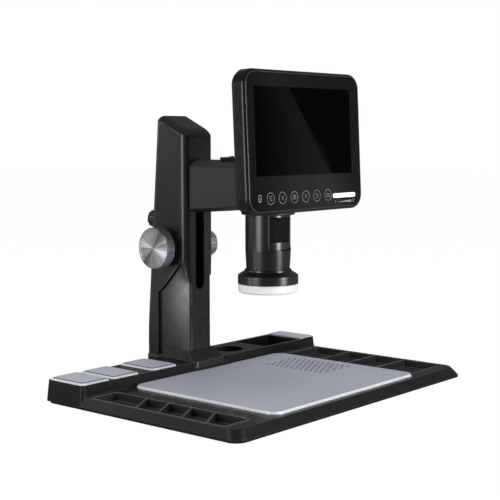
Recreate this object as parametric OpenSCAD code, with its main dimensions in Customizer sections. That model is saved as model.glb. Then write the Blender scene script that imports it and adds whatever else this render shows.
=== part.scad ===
// LCD digital microscope: a tray base with a rack-and-pinion column, a camera head and a tilting display.
// Origin: under the middle of the tray base, on the table. X is the user's right, Y points away, Z is up.

/* [Base] */
// Overall width of the base along X
base_w = 372; // [340:1:400]
// Overall depth of the base along Y
base_d = 252; // [240:1:260]
// Height of the flat tray area above the table
tray_h = 12; // [11:0.5:15]
// Height of the raised storage block at the rear
block_h = 23; // [21:0.2:26]
// Depth of the raised storage block along Y
block_d = 54; // [52:0.5:56]
// Corner radius of the base, seen from above
base_corner_r = 16; // [10:1:22]
// Width of the sloped edge round the tray
edge_slope = 4; // [2:0.5:6]
// How much further the right end slopes out at the table
right_flare = 4; // [0:0.5:6]
// Height of the straight lip under the sloped edge
lip_h = 3; // [2.5:0.5:5]
// Wall thickness of the moulded base
base_wall = 2.4; // [1.6:0.2:3]
// Thickness of the steel bottom cover
bottom_t = 1.5; // [1:0.1:2]
// Height that the rubber feet lift the bottom cover
foot_pad_h = 1; // [0.8:0.1:1.5]

/* [Parts trays] */
// Inside width of the left row of compartments
left_row_w = 33; // [28:1:36]
// Inside length of both rows of compartments
row_l = 171; // [160:1:174]
// Amount by which the left row's dividing walls run backwards, left to right
wall_slant = 20; // [0:1:22]
// Inside width of the right row of compartments
right_row_w = 67; // [55:1:68]
// Wall thickness of the parts trays
tray_wall = 1.6; // [1.2:0.1:2]
// Width of the border between the tray rows and the sloped edge
row_border = 6; // [5:0.5:9]
// Number of short compartments in the left row
left_small = 4; // [2:1:5]
// Depth of a drop-in tray below the tray surface
row_depth = 8; // [6:0.5:8.5]

/* [Rear block] */
// Width of a lid over a small parts well
lid_w = 37.5; // [34:0.5:38]
// Left end of each lid, measured from the left end of the base
lid_starts = [2.5, 43, 98];
// Thickness of a lid's flange above the block
lid_t = 2.4; // [1.8:0.2:3]
// Diameter of the round cup hole
cup_d = 35; // [28:1:38]
// Distance of the cup hole's centre from the right end of the base
cup_off = 129; // [126:1:134]
// Length of the rectangular pocket along X
pocket_l = 61; // [50:1:62]
// Distance of the rectangular pocket's left end from the right end of the base
pocket_off = 91; // [86:1:92]
// Depth of the cup hole, the pocket and the wells
well_depth = 15; // [12:0.5:15.5]

/* [Stage plate] */
// Left edge of the stage plate
plate_x0 = -121; // [-124:1:-118]
// Right edge of the stage plate
plate_x1 = 113; // [110:1:114]
// Front edge of the stage plate
plate_y0 = -115; // [-117:1:-108]
// Thickness of the stage plate
plate_t = 2.4; // [2:0.2:3]
// Corner radius of the stage plate
plate_r = 12; // [8:1:16]
// Pitch of the perforated field
vent_pitch = 6.5; // [6:0.25:7]
// Diameter of one vent hole
vent_d = 3.2; // [2.4:0.2:3.6]

/* [Column] */
// Distance of the column's front face from the centre line of the base
column_y = 89; // [87:0.5:91]
// Half of the column's width at its side covers
column_hw = 22.5; // [21.5:0.5:24]
// Half of the column's width across its front face
column_front_hw = 16.6; // [16:0.2:17.5]
// Height of the rear edge of the column's top
column_top = 285; // [280:1:292]
// Drop of the sloping top from rear to front
top_drop = 17; // [12:1:20]
// Width of the slot in the column's front
slot_w = 13.3; // [12.6:0.1:14]
// Height of the slot's lower end
slot_z0 = 98; // [95:1:100]
// Height of the focus knobs' shaft
knob_z = 143.5; // [140:0.5:146]
// Distance of the focus knobs' shaft from the centre line of the base
knob_y = 118.5; // [118:0.25:119.5]
// Diameter of the left focus knob
knob_d = 44.5; // [40:0.5:46]
// Diameter of the right focus knob
right_knob_d = 29; // [27:0.5:36]
// Width of a focus knob
knob_w = 13; // [11:0.5:14]
// Diameter of the pinion shaft
shaft_d = 8; // [7:0.5:9]
// Number of pinion teeth
pinion_teeth = 16; // [16:1:17]
// Module of the rack and pinion
gear_module = 1; // [0.98:0.01:1.02]
// Diameter of a guide rod
rod_d = 6; // [5:0.5:7]

/* [Head] */
// Height of the arm's centre line at the column
arm_z = 208; // [206:1:210]
// Half of the arm's width
arm_hw = 17; // [16:0.5:18]
// Distance of the barrel's axis from the centre line of the base, towards the user
barrel_y = -6.4; // [-9:0.2:-4]
// Outer diameter of the barrel
barrel_d = 47; // [46:0.5:49]
// Height of the barrel's lower end
barrel_z0 = 127; // [125:1:129]
// Outer diameter of the lamp ring
lamp_d = 62.4; // [58:0.4:64]
// Height of the focus wheel
wheel_h = 24.5; // [20:0.5:26]
// Number of lamps in the lamp ring
lamp_n = 12; // [8:1:14]

/* [Display] */
// Width of the front glass
glass_w = 180.4; // [174:0.2:184]
// Height of the front glass
glass_h = 133.8; // [130:0.2:138]
// Corner radius of the front glass
glass_r = 13; // [9:1:16]
// Border of the frame round the glass
bezel = 2.8; // [2.2:0.1:4]
// Depth of the front frame
frame_depth = 13.5; // [12.5:0.5:15]
// Depth of the rear shell behind the front frame
shell_depth = 5.5; // [4:0.5:6]
// Height of the screen's centre above the table
screen_z = 267.8; // [266:0.2:270]
// Distance of the screen's centre from the centre line of the base, towards the user
screen_y = -53.7; // [-55:0.1:-53]
// Backward lean of the display
screen_lean = 2.8; // [2:0.1:3]

/* [Hidden] */
smooth = 48;
eps = 0.01;
run_gap = 0.06;
loose_gap = 0.3;
seat_gap = 0.1;

base_y1 = base_d / 2 + 1;
base_y0 = base_y1 - base_d;
block_y0 = base_y1 - block_d;
cover_z = foot_pad_h;
cover_top = cover_z + bottom_t;
shell_z0 = 0.6;
block_slope = 2;
block_x1 = base_w / 2 + right_flare / 2 - 1.5 * block_slope;

left_row_x = -base_w / 2 + edge_slope + row_border / 2;
right_row_x = base_w / 2 - edge_slope - row_border / 2 - right_row_w;
row_y1 = block_y0 - row_border * 1.1;
row_y0 = row_y1 - row_l;
small_pitch = 118.4 / left_small;
plate_y1 = block_y0 - 2;
plate_top = tray_h + plate_t;
slot_strip_x = (left_row_x + left_row_w + plate_x0) / 2;

lid_d = block_d - 3.5;
cup_x = base_w / 2 - cup_off;
pocket_x = base_w / 2 - pocket_off;
well_y = (block_y0 + base_y1) / 2 - 0.4;
well_margin = 3.5;

rear_low_y = column_y + 59.5;
foot_y0 = block_y0 - 2.5;
foot_hw = 25.5;
foot_y1 = rear_low_y + 1;
foot_top = 33;

rear_top_y = column_y + 40;
column_z0 = block_h;
cavity_hw = 14;
cavity_y0 = column_y + 4;
cavity_y1 = knob_y + pinion_r_max() + 1.4;
cavity_z0 = column_z0 + 10;
cavity_z1 = column_top - top_drop - 10;
cover_t = 2.5;
knob_x = column_hw + 7.2;
right_knob_x = knob_x + 3.8;
recess = 3.5;

pitch_r = gear_module * pinion_teeth / 2;
addendum = 0.8 * gear_module;
backlash = 0.14;
rack_pitch_y = knob_y - pitch_r;
rack_back_y = rack_pitch_y - 6.5;
rack_z0 = knob_z - 10.2;
rack_n = 33;
rack_hw = 3;
rack_x = 3;
lock_x = -3.3;
lock_z = 172;
lock_boss = 7;
lock_screw_d = 5;

travel_up = 4;
travel_down = 76;
tail_z1 = lock_z + travel_down + 3;
carriage_h = 28;
carriage_z0 = arm_z - 14;
rod_x = 9.6;
rod_y = cavity_y0 + 6;
carriage_y0 = cavity_y0 + 0.5;
slot_z1 = carriage_z0 + carriage_h + travel_up + slot_w / 2 + 1;

arm_y1 = column_y - 0.7;
arm_crown = 8;
arm_belly = 4;
arm_rear_h = 45;
arm_front_h = 38;
collar_d = barrel_d + 8;
collar_z0 = arm_z - 24.5;
collar_z1 = arm_z + arm_rear_h / 2 + arm_crown - 1.3;

wheel_z0 = barrel_z0 + 29;
tube_d = barrel_d - 12;
wheel_d = barrel_d - 4;
tube_wall = 2.5;
tube_z0 = barrel_z0 - 9;
tube_z1 = collar_z1 - 12;
bore_d = barrel_d - 3.2;
window_y = -barrel_d / 2 * cos(49.5);
window_hw = barrel_d / 2 * sin(49.5);
window_z0 = wheel_z0 - 8.8;
window_z1 = collar_z0 + 1;
lens_z0 = tube_z0 + 5;
carrier_h = 26;
focus_travel = 4;

lamp_rim_h = 8.6;
lamp_rim_z = barrel_z0 - 14.6;
diffuser_h = 9.2;
diffuser_z0 = lamp_rim_z - diffuser_h;

frame_w = glass_w + 2 * bezel;
frame_h = glass_h + 2 * bezel;
frame_r = glass_r + bezel;
glass_t = 1.8;
glass_dx = 2.7;
glass_dz = -10.3;
display_depth = frame_depth + shell_depth;
shell_screw_d = 2.6;
hinge_y = barrel_y - collar_d / 2 + 5.9;
hinge_z = collar_z1 + 7;
bracket_t = 2.4;
bracket_z0 = collar_z1 + 1.6;
bracket_seat = collar_z1 + 0.2;
bracket_y0 = barrel_y + collar_d / 2 + 0.4;
bracket_y1 = barrel_y + 58;
bracket_screw_y = [barrel_y + 38, barrel_y + 50];
pin_d = 4;
knuckle_d = 9;
knuckle_hw = 9;
leaf_ear = 7;
lcd_w = glass_w - 16.4;
lcd_h = glass_h - 33.8;
lcd_z0 = glass_dz - lcd_h / 2 + 9.3;
board_w = glass_w - 32.4;
board_h = glass_h - 49.8;
board_x0 = glass_dx + glass_w / 2 - 4.9 - board_w;
board_z0 = glass_dz + glass_h / 2 - 22.6 - board_h;
board_y = frame_depth - 4.4;

function pinion_r_max() = gear_module * (pinion_teeth / 2 + 0.8);

// ---- shared shapes ----

// Rectangle with true round corners, given by its lower-left and upper-right corners.
module round_rect(x0, y0, x1, y1, r) {
    translate([x0 + r, y0]) square([x1 - x0 - 2 * r, y1 - y0]);
    translate([x0, y0 + r]) square([x1 - x0, y1 - y0 - 2 * r]);
    for (x = [x0 + r, x1 - r], y = [y0 + r, y1 - r]) translate([x, y]) circle(r, $fn = smooth);
}

module slab(x0, y0, x1, y1, r, z0, z1) {
    translate([0, 0, z0]) linear_extrude(z1 - z0) round_rect(x0, y0, x1, y1, r);
}

// Extrudes a profile drawn in the YZ plane along X, centred on X = 0.
module along_x(width) {
    rotate([90, 0, 90]) translate([0, 0, -width / 2]) linear_extrude(width) children();
}

// Extrudes a profile drawn in the XZ plane from y0 to y1.
module along_y(y0, y1) {
    translate([0, y1, 0]) rotate([90, 0, 0]) linear_extrude(y1 - y0) children();
}

module tube(d_out, d_in, z0, z1) {
    translate([0, 0, z0]) difference() {
        cylinder(d = d_out, h = z1 - z0, $fn = smooth);
        translate([0, 0, -1]) cylinder(d = d_in, h = z1 - z0 + 2, $fn = smooth);
    }
}

// A countersunk or pan-head screw standing on its head, pointing up.
module screw_up(d, len, head_d, head_h) {
    cylinder(d = head_d, h = head_h, $fn = 24);
    cylinder(d = d, h = len, $fn = 24);
}

module on_panel() {
    translate([0, screen_y, screen_z]) rotate([-screen_lean, 0, 0]) children();
}

module at_barrel() { translate([0, barrel_y, 0]) children(); }

module at_shaft() { translate([0, knob_y, knob_z]) rotate([0, 90, 0]) children(); }

// ---- base ----

module tray_outline(inset, z0, z1) {
    slab(-base_w / 2 + inset, base_y0 + inset, base_w / 2 - inset, base_y1 - inset,
         base_corner_r - inset, z0, z1);
}

// Lower outline of the base: like the tray's, but longer at the right end.
module skirt_outline(inset, z0, z1) {
    slab(-base_w / 2 + inset, base_y0 - 1 + inset, base_w / 2 + right_flare - inset, base_y1 - inset,
         base_corner_r - 4 - inset, z0, z1);
}

module base_skin(inset) {
    hull() {
        skirt_outline(inset, shell_z0, lip_h);
        tray_outline(edge_slope + inset, tray_h - inset - 0.5, tray_h - inset);
    }
    hull() {
        slab(-base_w / 2 + inset, block_y0 + inset, base_w / 2 + right_flare / 2 - inset, base_y1 - inset,
             4, lip_h - 1, lip_h);
        slab(-base_w / 2 + block_slope + inset, block_y0 + 0.8 + inset, block_x1 - inset,
             base_y1 - 1 - inset, 4, block_h - inset - 0.5, block_h - inset);
    }
}

module lid_well(i, grow, z0, z1) {
    x0 = -base_w / 2 + lid_starts[i] + well_margin;
    slab(x0 - grow, well_y - lid_d / 2 + well_margin - grow, x0 + lid_w - 2 * well_margin + grow,
         well_y + lid_d / 2 - well_margin + grow, 4, z0, z1);
}

module cup_well(grow, z0, z1) {
    translate([cup_x, well_y, z0]) cylinder(d = cup_d + 2 * grow, h = z1 - z0, $fn = smooth);
}

module pocket_well(grow, z0, z1) {
    slab(pocket_x - grow, block_y0 + 3.6 - grow, pocket_x + pocket_l + grow, base_y1 - 4.2 + grow, 4, z0, z1);
}

module row_hole(x0, w, grow, z0, z1) {
    slab(x0 - grow, row_y0 - grow, x0 + w + grow, row_y1 + grow, 4, z0, z1);
}

module groove_strip() {
    groove_w = 2.6;
    groove_pitch = row_l / 34;
    groove_l = plate_x0 - (left_row_x + left_row_w) - 12;
    groups = [[0, 5], [6, 9], [16, 9], [26, 5]];
    for (g = groups, k = [0 : g[1] - 1])
        translate([slot_strip_x - groove_l / 2, row_y1 - 12 - (g[0] + k) * groove_pitch, tray_h - 1.4])
            cube([groove_l, groove_w, 3]);
}

module cover_post_spots() {
    for (x = [-1, 1]) translate([x * (base_w / 2 - 9), base_y0 + 12, 0]) children();
    translate([base_w / 2 - 9, base_y1 - 12, 0]) children();
    // between the first two wells
    translate([-base_w / 2 + (lid_starts[0] + lid_w + lid_starts[1]) / 2, well_y, 0]) children();
    for (x = [-1, 1]) {
        translate([x * 60, plate_y0 + 8, 0]) children();
        translate([x * (foot_hw + 12), block_y0 + 8, 0]) children();
    }
}

// Space under the skin, less the walls of the wells, the ribs and the screw posts.
module base_hollow() {
    rib_w = 1.8;
    difference() {
        union() {
            translate([0, 0, -1]) base_skin(base_wall);
            tray_outline(base_wall, -1, cover_top + eps);
        }
        for (i = [0 : 2]) lid_well(i, base_wall, cover_top, block_h);
        cup_well(base_wall, cover_top, block_h);
        pocket_well(base_wall, cover_top, block_h);
        foot_socket(base_wall, cover_top);
        cover_post_spots() translate([0, 0, cover_top]) cylinder(d = 7, h = block_h, $fn = 24);
        for (y = [-80, -40, 0, 40]) translate([-base_w / 2, y, cover_top]) cube([base_w, rib_w, tray_h]);
        for (x = [-90, -30, 30, 90]) translate([x, base_y0, cover_top]) cube([rib_w, base_d, tray_h]);
    }
}

module foot_socket(grow, z0) {
    slab(-foot_hw - grow, block_y0 - grow, foot_hw + grow, foot_y1 + 20, 6, z0, block_h + 1);
    if (grow < base_wall)
        slab(-foot_hw - grow, foot_y0 - 1, foot_hw + grow, block_y0 + 10, 1, tray_h + 0.3, block_h + 1);
}

module base_shell() {
    color([0.13, 0.13, 0.14]) difference() {
        base_skin(0);
        base_hollow();
        for (i = [0 : 2]) lid_well(i, 0, block_h - well_depth, block_h + 1);
        cup_well(0, block_h - well_depth, block_h + 1);
        pocket_well(0, block_h - well_depth, block_h + 1);
        row_hole(left_row_x, left_row_w, tray_wall + seat_gap, -1, tray_h + 1);
        row_hole(right_row_x, right_row_w, tray_wall + seat_gap, -1, tray_h + 1);
        groove_strip();
        cover_post_spots() translate([0, 0, cover_top - 1]) cylinder(d = 2.6, h = 7, $fn = 24);
        foot_socket(seat_gap, -1);
    }
}

module bottom_cover() {
    color("dimgray") difference() {
        tray_outline(base_wall + seat_gap, cover_z, cover_top);
        cover_post_spots() translate([0, 0, cover_z - 1]) cylinder(d = 3.4, h = 4, $fn = 24);
        foot_bolt_spots() translate([0, 0, cover_z - 1]) cylinder(d = 5.4, h = 4, $fn = 24);
    }
}

module foot_pad_spots() {
    for (x = [-1, 1], y = [base_y0 + 22, base_y1 - 22]) translate([x * (base_w / 2 - 28), y, 0]) children();
    for (x = [-1, 1]) translate([x * 12, foot_y1 - 8, 0]) children();
    children();
}

module rubber_feet() {
    color([0.1, 0.1, 0.1]) foot_pad_spots() cylinder(d = 14, h = foot_pad_h, $fn = smooth);
}

module base_screws() {
    color("silver") cover_post_spots() translate([0, 0, cover_z - 0.8]) screw_up(2.5, 7, 5.4, 0.8);
}

// Walls are given by their front left ends; each runs backwards by slant towards the right.
module parts_tray(x0, w, walls, rim, slant) {
    floor_t = 1.4;
    z0 = tray_h - row_depth - floor_t;
    difference() {
        row_hole(x0, w, tray_wall, z0, tray_h + rim);
        difference() {
            row_hole(x0, w, 0, z0 + floor_t, tray_h + 1);
            for (y = walls) translate([0, 0, z0]) linear_extrude(row_depth + floor_t)
                polygon([[x0 - 1, y], [x0 + w + 1, y + slant], [x0 + w + 1, y + slant + tray_wall],
                         [x0 - 1, y + tray_wall]]);
        }
    }
}

module left_parts_tray() {
    walls = [for (k = [0 : left_small - 1]) row_y0 + 20.5 + k * small_pitch];
    color([0.14, 0.14, 0.15]) parts_tray(left_row_x, left_row_w, walls, 0.4, wall_slant);
}

module right_parts_tray() {
    walls = [for (k = [0.27, 0.5, 0.71]) row_y0 + k * row_l];
    color([0.14, 0.14, 0.15]) parts_tray(right_row_x, right_row_w, walls, 0, 0);
}

module plate_outline(inset) {
    difference() {
        round_rect(plate_x0 + inset, plate_y0 + inset, plate_x1 - inset, plate_y1 - inset, plate_r - inset);
        round_rect(-foot_hw - 4 - inset, foot_y0 - 1.2 - inset, foot_hw + 4 + inset, plate_y1 + 30, 4 + inset);
    }
}

module stage_plate() {
    bevel = 1.2;
    color([0.62, 0.63, 0.66]) difference() {
        union() {
            translate([0, 0, tray_h]) linear_extrude(plate_t - bevel) plate_outline(0);
            translate([0, 0, tray_h + plate_t - bevel - eps]) linear_extrude(bevel + eps) plate_outline(bevel);
        }
        for (i = [0 : 7], j = [0 : 11])
            translate([plate_x1 - 62 + i * vent_pitch, 36 - (j + (i % 2) / 2) * vent_pitch, tray_h - 1])
                cylinder(d = vent_d, h = plate_t + 2, $fn = 14);
    }
}

module end_cover_plate() {
    x0 = pocket_x + pocket_l + 4;
    color([0.7, 0.71, 0.74])
        slab(x0, block_y0 + 2.4, block_x1 - 1.6, base_y1 - 2.6, 2.5, block_h, block_h + 1.2);
}

// Lid: a thin flange, a raised pad on top and a skirt that drops into its well.
module storage_lid(i) {
    x0 = -base_w / 2 + lid_starts[i];
    y0 = well_y - lid_d / 2;
    z0 = block_h + 0.2;
    flange_t = lid_t * 0.7;
    skirt = well_margin + loose_gap;
    color([0.72, 0.73, 0.76]) difference() {
        union() {
            hull() {
                slab(x0, y0, x0 + lid_w, y0 + lid_d, 5, z0, z0 + 0.5);
                slab(x0 + 1.4, y0 + 1.4, x0 + lid_w - 1.4, y0 + lid_d - 1.4, 3.6, z0, z0 + flange_t);
            }
            slab(x0 + 3.2, y0 + 3.2, x0 + lid_w - 3.2, y0 + lid_d - 3.2, 3, z0, z0 + lid_t);
            slab(x0 + skirt, y0 + skirt, x0 + lid_w - skirt, y0 + lid_d - skirt, 3.6, z0 - 4, z0 + eps);
        }
        slab(x0 + skirt + 1.4, y0 + skirt + 1.4, x0 + lid_w - skirt - 1.4, y0 + lid_d - skirt - 1.4, 2.4,
             z0 - 5, z0);
    }
}

module storage_lid_1() { storage_lid(0); }

module storage_lid_2() { storage_lid(1); }

module storage_lid_3() { storage_lid(2); }

// ---- column ----

module foot_bolt_spots() {
    for (x = [-13, 13], y = [column_y + 21, rear_low_y - 21]) translate([x, y, 0]) children();
}

// Cross-section of the column: flat sides, round front corners and a slightly rounded rear.
module column_section(hw, y1) {
    corner = column_hw - column_front_hw + 1.2;
    round_rect(-hw, column_y, hw, y1 - 4, corner);
    round_rect(-hw, column_y + 20, hw, y1, 4);
    translate([-hw, column_y + corner]) square([2 * hw, y1 - column_y - corner - 5]);
}

// Side view of the column: upright front, leaning rear and a top that slopes to the front.
module column_side_view(inset) {
    y0 = column_y + inset;
    yt = rear_top_y - inset;
    zf = column_top - top_drop - inset;
    zr = column_top - inset;
    r = 9;
    hull() {
        translate([y0, column_z0 - 2]) square([10, 1]);
        translate([rear_low_y - inset - 1, column_z0 - 2]) square([1, 1]);
        translate([y0 + r, zf - r]) circle(r, $fn = smooth);
        translate([yt - 5, zr - 5]) circle(5, $fn = smooth);
    }
}

// Rounds the long upper edges of the column, from the rear down to the front.
module roof_form() {
    r = 9;
    hull() for (p = [[column_y, column_top - top_drop - 5.5], [rear_top_y - 3, column_top + 0.5],
                     [rear_low_y + 2, column_top + 0.5]])
        translate([0, 0, p[1]]) along_y(p[0] - 1, p[0]) union() {
            translate([-column_hw - 0.5, -column_top]) square([2 * column_hw + 1, column_top - r]);
            for (s = [-1, 1]) translate([s * (column_hw + 0.5 - r), -r]) circle(r, $fn = smooth);
        }
    translate([-column_hw - 0.5, column_y - 1, 0])
        cube([2 * column_hw + 1, rear_low_y - column_y + 2, column_top - top_drop - 20]);
}

// Outline of a side cover: the whole side above the knob and a narrow band at the rear below it.
module cover_outline_yz(grow) {
    front = column_y + 8.5;
    difference() {
        intersection() {
            translate([0, -7.5]) column_side_view(2.2 - grow);
            translate([front - grow, column_z0 + 0.3 - 10 * grow]) square([100, 400]);
        }
        polygon([[0, 0], [column_y + 42.5 - grow, 0], [column_y + 42.5 - grow, knob_z - 47 - grow],
                 [column_y + 35 - grow, knob_z - 43 - grow], [front + 2, knob_z - 13 - grow],
                 [front - 20, knob_z - 5 - grow], [0, knob_z]]);
    }
}

module column_body() {
    lower_hw = column_hw - recess;
    color([0.15, 0.15, 0.16]) difference() {
        union() {
            intersection() {
                translate([0, 0, column_z0]) linear_extrude(column_top) column_section(column_hw, rear_low_y);
                along_x(2 * column_hw + 2) column_side_view(0);
                roof_form();
            }
            translate([lock_x, cavity_y1 + 2, lock_z]) rotate([-90, 0, 0])
                cylinder(d = 15, h = rear_y_at(lock_z) + lock_boss - cavity_y1 - 2, $fn = smooth);
        }
        // lower side recess in front of the rear band
        for (s = [-1, 1]) translate([s * (column_hw + 5), 0, 0]) along_x(2 * (column_hw + 5 - lower_hw))
            polygon([[column_y - 5, 0], [column_y + 42, 0], [column_y + 42, knob_z - 50],
                     [column_y + 35, knob_z - 45], [column_y + 9, knob_z - 17], [column_y + 6, knob_z - 30],
                     [column_y - 5, knob_z - 34]]);
        // seats of the side covers
        for (s = [-1, 1]) translate([s * (column_hw + 5), 0, 0]) along_x(2 * (5 + cover_t))
            cover_outline_yz(0.15);
        // inner cavity and front slot
        translate([-cavity_hw, cavity_y0, cavity_z0])
            cube([2 * cavity_hw, cavity_y1 - cavity_y0, cavity_z1 - cavity_z0]);
        along_y(column_y - 1, cavity_y0 + 1)
            round_rect(-slot_w / 2, slot_z0, slot_w / 2, slot_z1, slot_w / 2 - 0.05);
        // bores: guide rods, shaft bushes, lock screw and column bolts
        for (s = [-1, 1]) translate([s * rod_x, rod_y, cavity_z0 - 6])
            cylinder(d = rod_d, h = cavity_z1 - cavity_z0 + 12, $fn = smooth);
        at_shaft() translate([0, 0, -40]) cylinder(d = shaft_d + 6, h = 80, $fn = smooth);
        translate([lock_x, cavity_y1 - 1, lock_z]) rotate([-90, 0, 0])
            cylinder(d = lock_screw_d + 2 * run_gap, h = 40, $fn = smooth);
        foot_bolt_spots() translate([0, 0, column_z0 - 1]) cylinder(d = 5, h = 9, $fn = 24);
    }
}

module side_cover(s) {
    color([0.17, 0.17, 0.18]) difference() {
        translate([s * (column_hw - cover_t / 2 + 0.2), 0, 0]) along_x(cover_t) cover_outline_yz(0);
        at_shaft() translate([0, 0, -60]) cylinder(d = shaft_d + 6 + 2 * seat_gap, h = 120, $fn = smooth);
    }
}

module side_cover_left() { side_cover(-1); }

module side_cover_right() { side_cover(1); }

module column_foot() {
    collar_hw = column_front_hw + 1.6;
    color([0.12, 0.12, 0.13]) difference() {
        union() {
            slab(-foot_hw, block_y0, foot_hw, base_y1, 6, cover_top, column_z0);
            slab(-column_hw - 0.5, column_y, column_hw + 0.5, foot_y1, 4, cover_top, column_z0);
            slab(-column_hw - 0.5, base_y1 - base_wall + seat_gap, column_hw + 0.5, foot_y1, 2,
                 cover_z, cover_top + 1);
            intersection() {
                along_x(2 * foot_hw) polygon([[foot_y0, tray_h + 0.4], [foot_y0, tray_h + 2],
                    [column_y - 1.6, foot_top - 1], [column_y - 0.6, foot_top], [column_y + 1, foot_top],
                    [column_y + 44, column_z0 + 0.8], [column_y + 46, column_z0 - 2], [column_y, tray_h + 0.4]]);
                along_y(foot_y0 - 1, foot_y1) polygon([[-foot_hw, 0], [foot_hw, 0], [foot_hw, column_z0 - 1],
                    [collar_hw, foot_top + 1], [-collar_hw, foot_top + 1], [-foot_hw, column_z0 - 1]]);
            }
        }
        translate([0, 0, column_z0]) linear_extrude(30) offset(delta = seat_gap) intersection() {
            column_section(column_hw, rear_low_y);
            union() {
                translate([-column_hw + recess, 0]) square([2 * (column_hw - recess), 400]);
                translate([-100, column_y + 41]) square([200, 100]);
            }
        }
        for (s = [-1, 1]) translate([s * column_hw - cover_t, column_y + 40, column_z0 + 0.1])
            cube([2 * cover_t, 100, 20]);
        foot_bolt_spots() cylinder(d = 5.4, h = 40, $fn = 24);
    }
}

module column_bolts() {
    color("silver") foot_bolt_spots() translate([0, 0, cover_z - 0.9]) screw_up(4.9, column_z0 + 6, 9, 0.9);
}

module guide_rods() {
    color("silver") for (s = [-1, 1]) translate([s * rod_x, rod_y, cavity_z0 - 6])
        cylinder(d = rod_d, h = cavity_z1 - cavity_z0 + 12, $fn = smooth);
}

// Bronze bush with the round boss that backs each knob.
module shaft_bushes() {
    color([0.2, 0.2, 0.21]) for (b = [[-1, knob_d - 4, knob_x], [1, right_knob_d - 3, right_knob_x]])
        at_shaft() translate([0, 0, b[0] * (column_hw + 0.2)]) rotate([b[0] > 0 ? 0 : 180, 0, 0]) difference() {
            union() {
                translate([0, 0, cavity_hw - column_hw])
                    cylinder(d = shaft_d + 6, h = column_hw - cavity_hw, $fn = smooth);
                cylinder(d = b[1], h = 4, $fn = smooth);
                cylinder(d = b[1] - 5, h = b[2] - column_hw - 0.8, $fn = smooth);
            }
            translate([0, 0, -20]) cylinder(d = shaft_d + 2 * run_gap, h = 40, $fn = smooth);
        }
}

// ---- rack and pinion drive ----

function involute_xy(rb, a) = [rb * (cos(a) + a * PI / 180 * sin(a)), rb * (sin(a) - a * PI / 180 * cos(a))];

function turn(p, a) = [p[0] * cos(a) - p[1] * sin(a), p[0] * sin(a) + p[1] * cos(a)];

// One flank of an involute tooth, from its root to its tip, centred on +X.
function flank(rb, root, tip, half) = let (
    a_pitch = acos(rb / pitch_r),
    inv_pitch = tan(a_pitch) * 180 / PI - a_pitch,
    a_tip = sqrt(tip * tip / (rb * rb) - 1) * 180 / PI)
    concat([turn([root, 0], -half - inv_pitch)],
           [for (k = [0 : 5]) turn(involute_xy(rb, k * a_tip / 5), -half - inv_pitch)]);

module pinion_2d() {
    rb = pitch_r * cos(20);
    root = pitch_r - 1.15 * gear_module;
    tip = pitch_r + addendum;
    half = 90 / pinion_teeth - backlash / pitch_r * 90 / PI;
    lower = flank(rb, root, tip, half);
    upper = [for (k = [len(lower) - 1 : -1 : 0]) [lower[k][0], -lower[k][1]]];
    union() {
        circle(root, $fn = smooth);
        for (k = [0 : pinion_teeth - 1]) rotate(k * 360 / pinion_teeth)
            polygon(concat([[0, 0]], lower, upper));
    }
}

module pinion() {
    color([0.75, 0.62, 0.3]) at_shaft() translate([0, 0, rack_x - rack_hw + 0.2]) difference() {
        // a gap between two teeth faces the rack
        linear_extrude(2 * rack_hw - 0.4) rotate(-90 + 180 / pinion_teeth) pinion_2d();
        translate([0, 0, -1]) cylinder(d = shaft_d, h = 20, $fn = smooth);
    }
}

module pinion_shaft() {
    left_l = knob_x + knob_w - 3.2;
    color("silver") at_shaft() translate([0, 0, -left_l])
        cylinder(d = shaft_d, h = left_l + right_knob_x + knob_w - 3.2, $fn = smooth);
}

// Knurled aluminium knob: shallow grooves round the rim and a dished face.
module knob(s, d, x0, grooves) {
    color([0.75, 0.75, 0.77]) at_shaft() translate([0, 0, s * x0])
        rotate([s > 0 ? 0 : 180, 0, 0]) difference() {
            rotate_extrude($fn = 96) polygon([[0, 0], [d / 2 - 2, 0], [d / 2 - 2, 1.2], [d / 2, 1.8],
                [d / 2, knob_w - 1], [d / 2 - 1, knob_w], [d / 2 - 2.5, knob_w], [d / 2 - 3, knob_w - 0.4],
                [0, knob_w - 0.4]]);
            for (k = [0 : grooves - 1]) rotate(k * 360 / grooves) translate([d / 2 + 0.35, 0, 2.4])
                rotate(45) translate([-0.6, -0.6, 0]) cube([1.2, 1.2, knob_w - 4.4]);
            translate([0, 0, -1]) cylinder(d = shaft_d, h = knob_w - 2, $fn = smooth);
        }
}

module knob_left() { knob(-1, knob_d, knob_x, 60); }

module knob_right() { knob(1, right_knob_d, right_knob_x, 40); }

module rack() {
    p = PI * gear_module;
    w_tip = p / 2 - 2 * addendum * tan(20) - backlash;
    w_pitch = p / 2 - backlash;
    root_y = rack_pitch_y - 1.1 * gear_module;
    w_root = w_pitch + 2 * 1.1 * gear_module * tan(20);
    color([0.7, 0.7, 0.72]) translate([rack_x, 0, 0]) along_x(2 * rack_hw) union() {
        translate([rack_back_y, rack_z0]) square([root_y - rack_back_y + eps, rack_n * p]);
        for (k = [0 : rack_n - 1]) {
            zc = knob_z + (k - 3) * p;
            polygon([[root_y, zc - w_root / 2], [rack_pitch_y + addendum, zc - w_tip / 2],
                     [rack_pitch_y + addendum, zc + w_tip / 2], [root_y, zc + w_root / 2]]);
        }
    }
}

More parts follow.
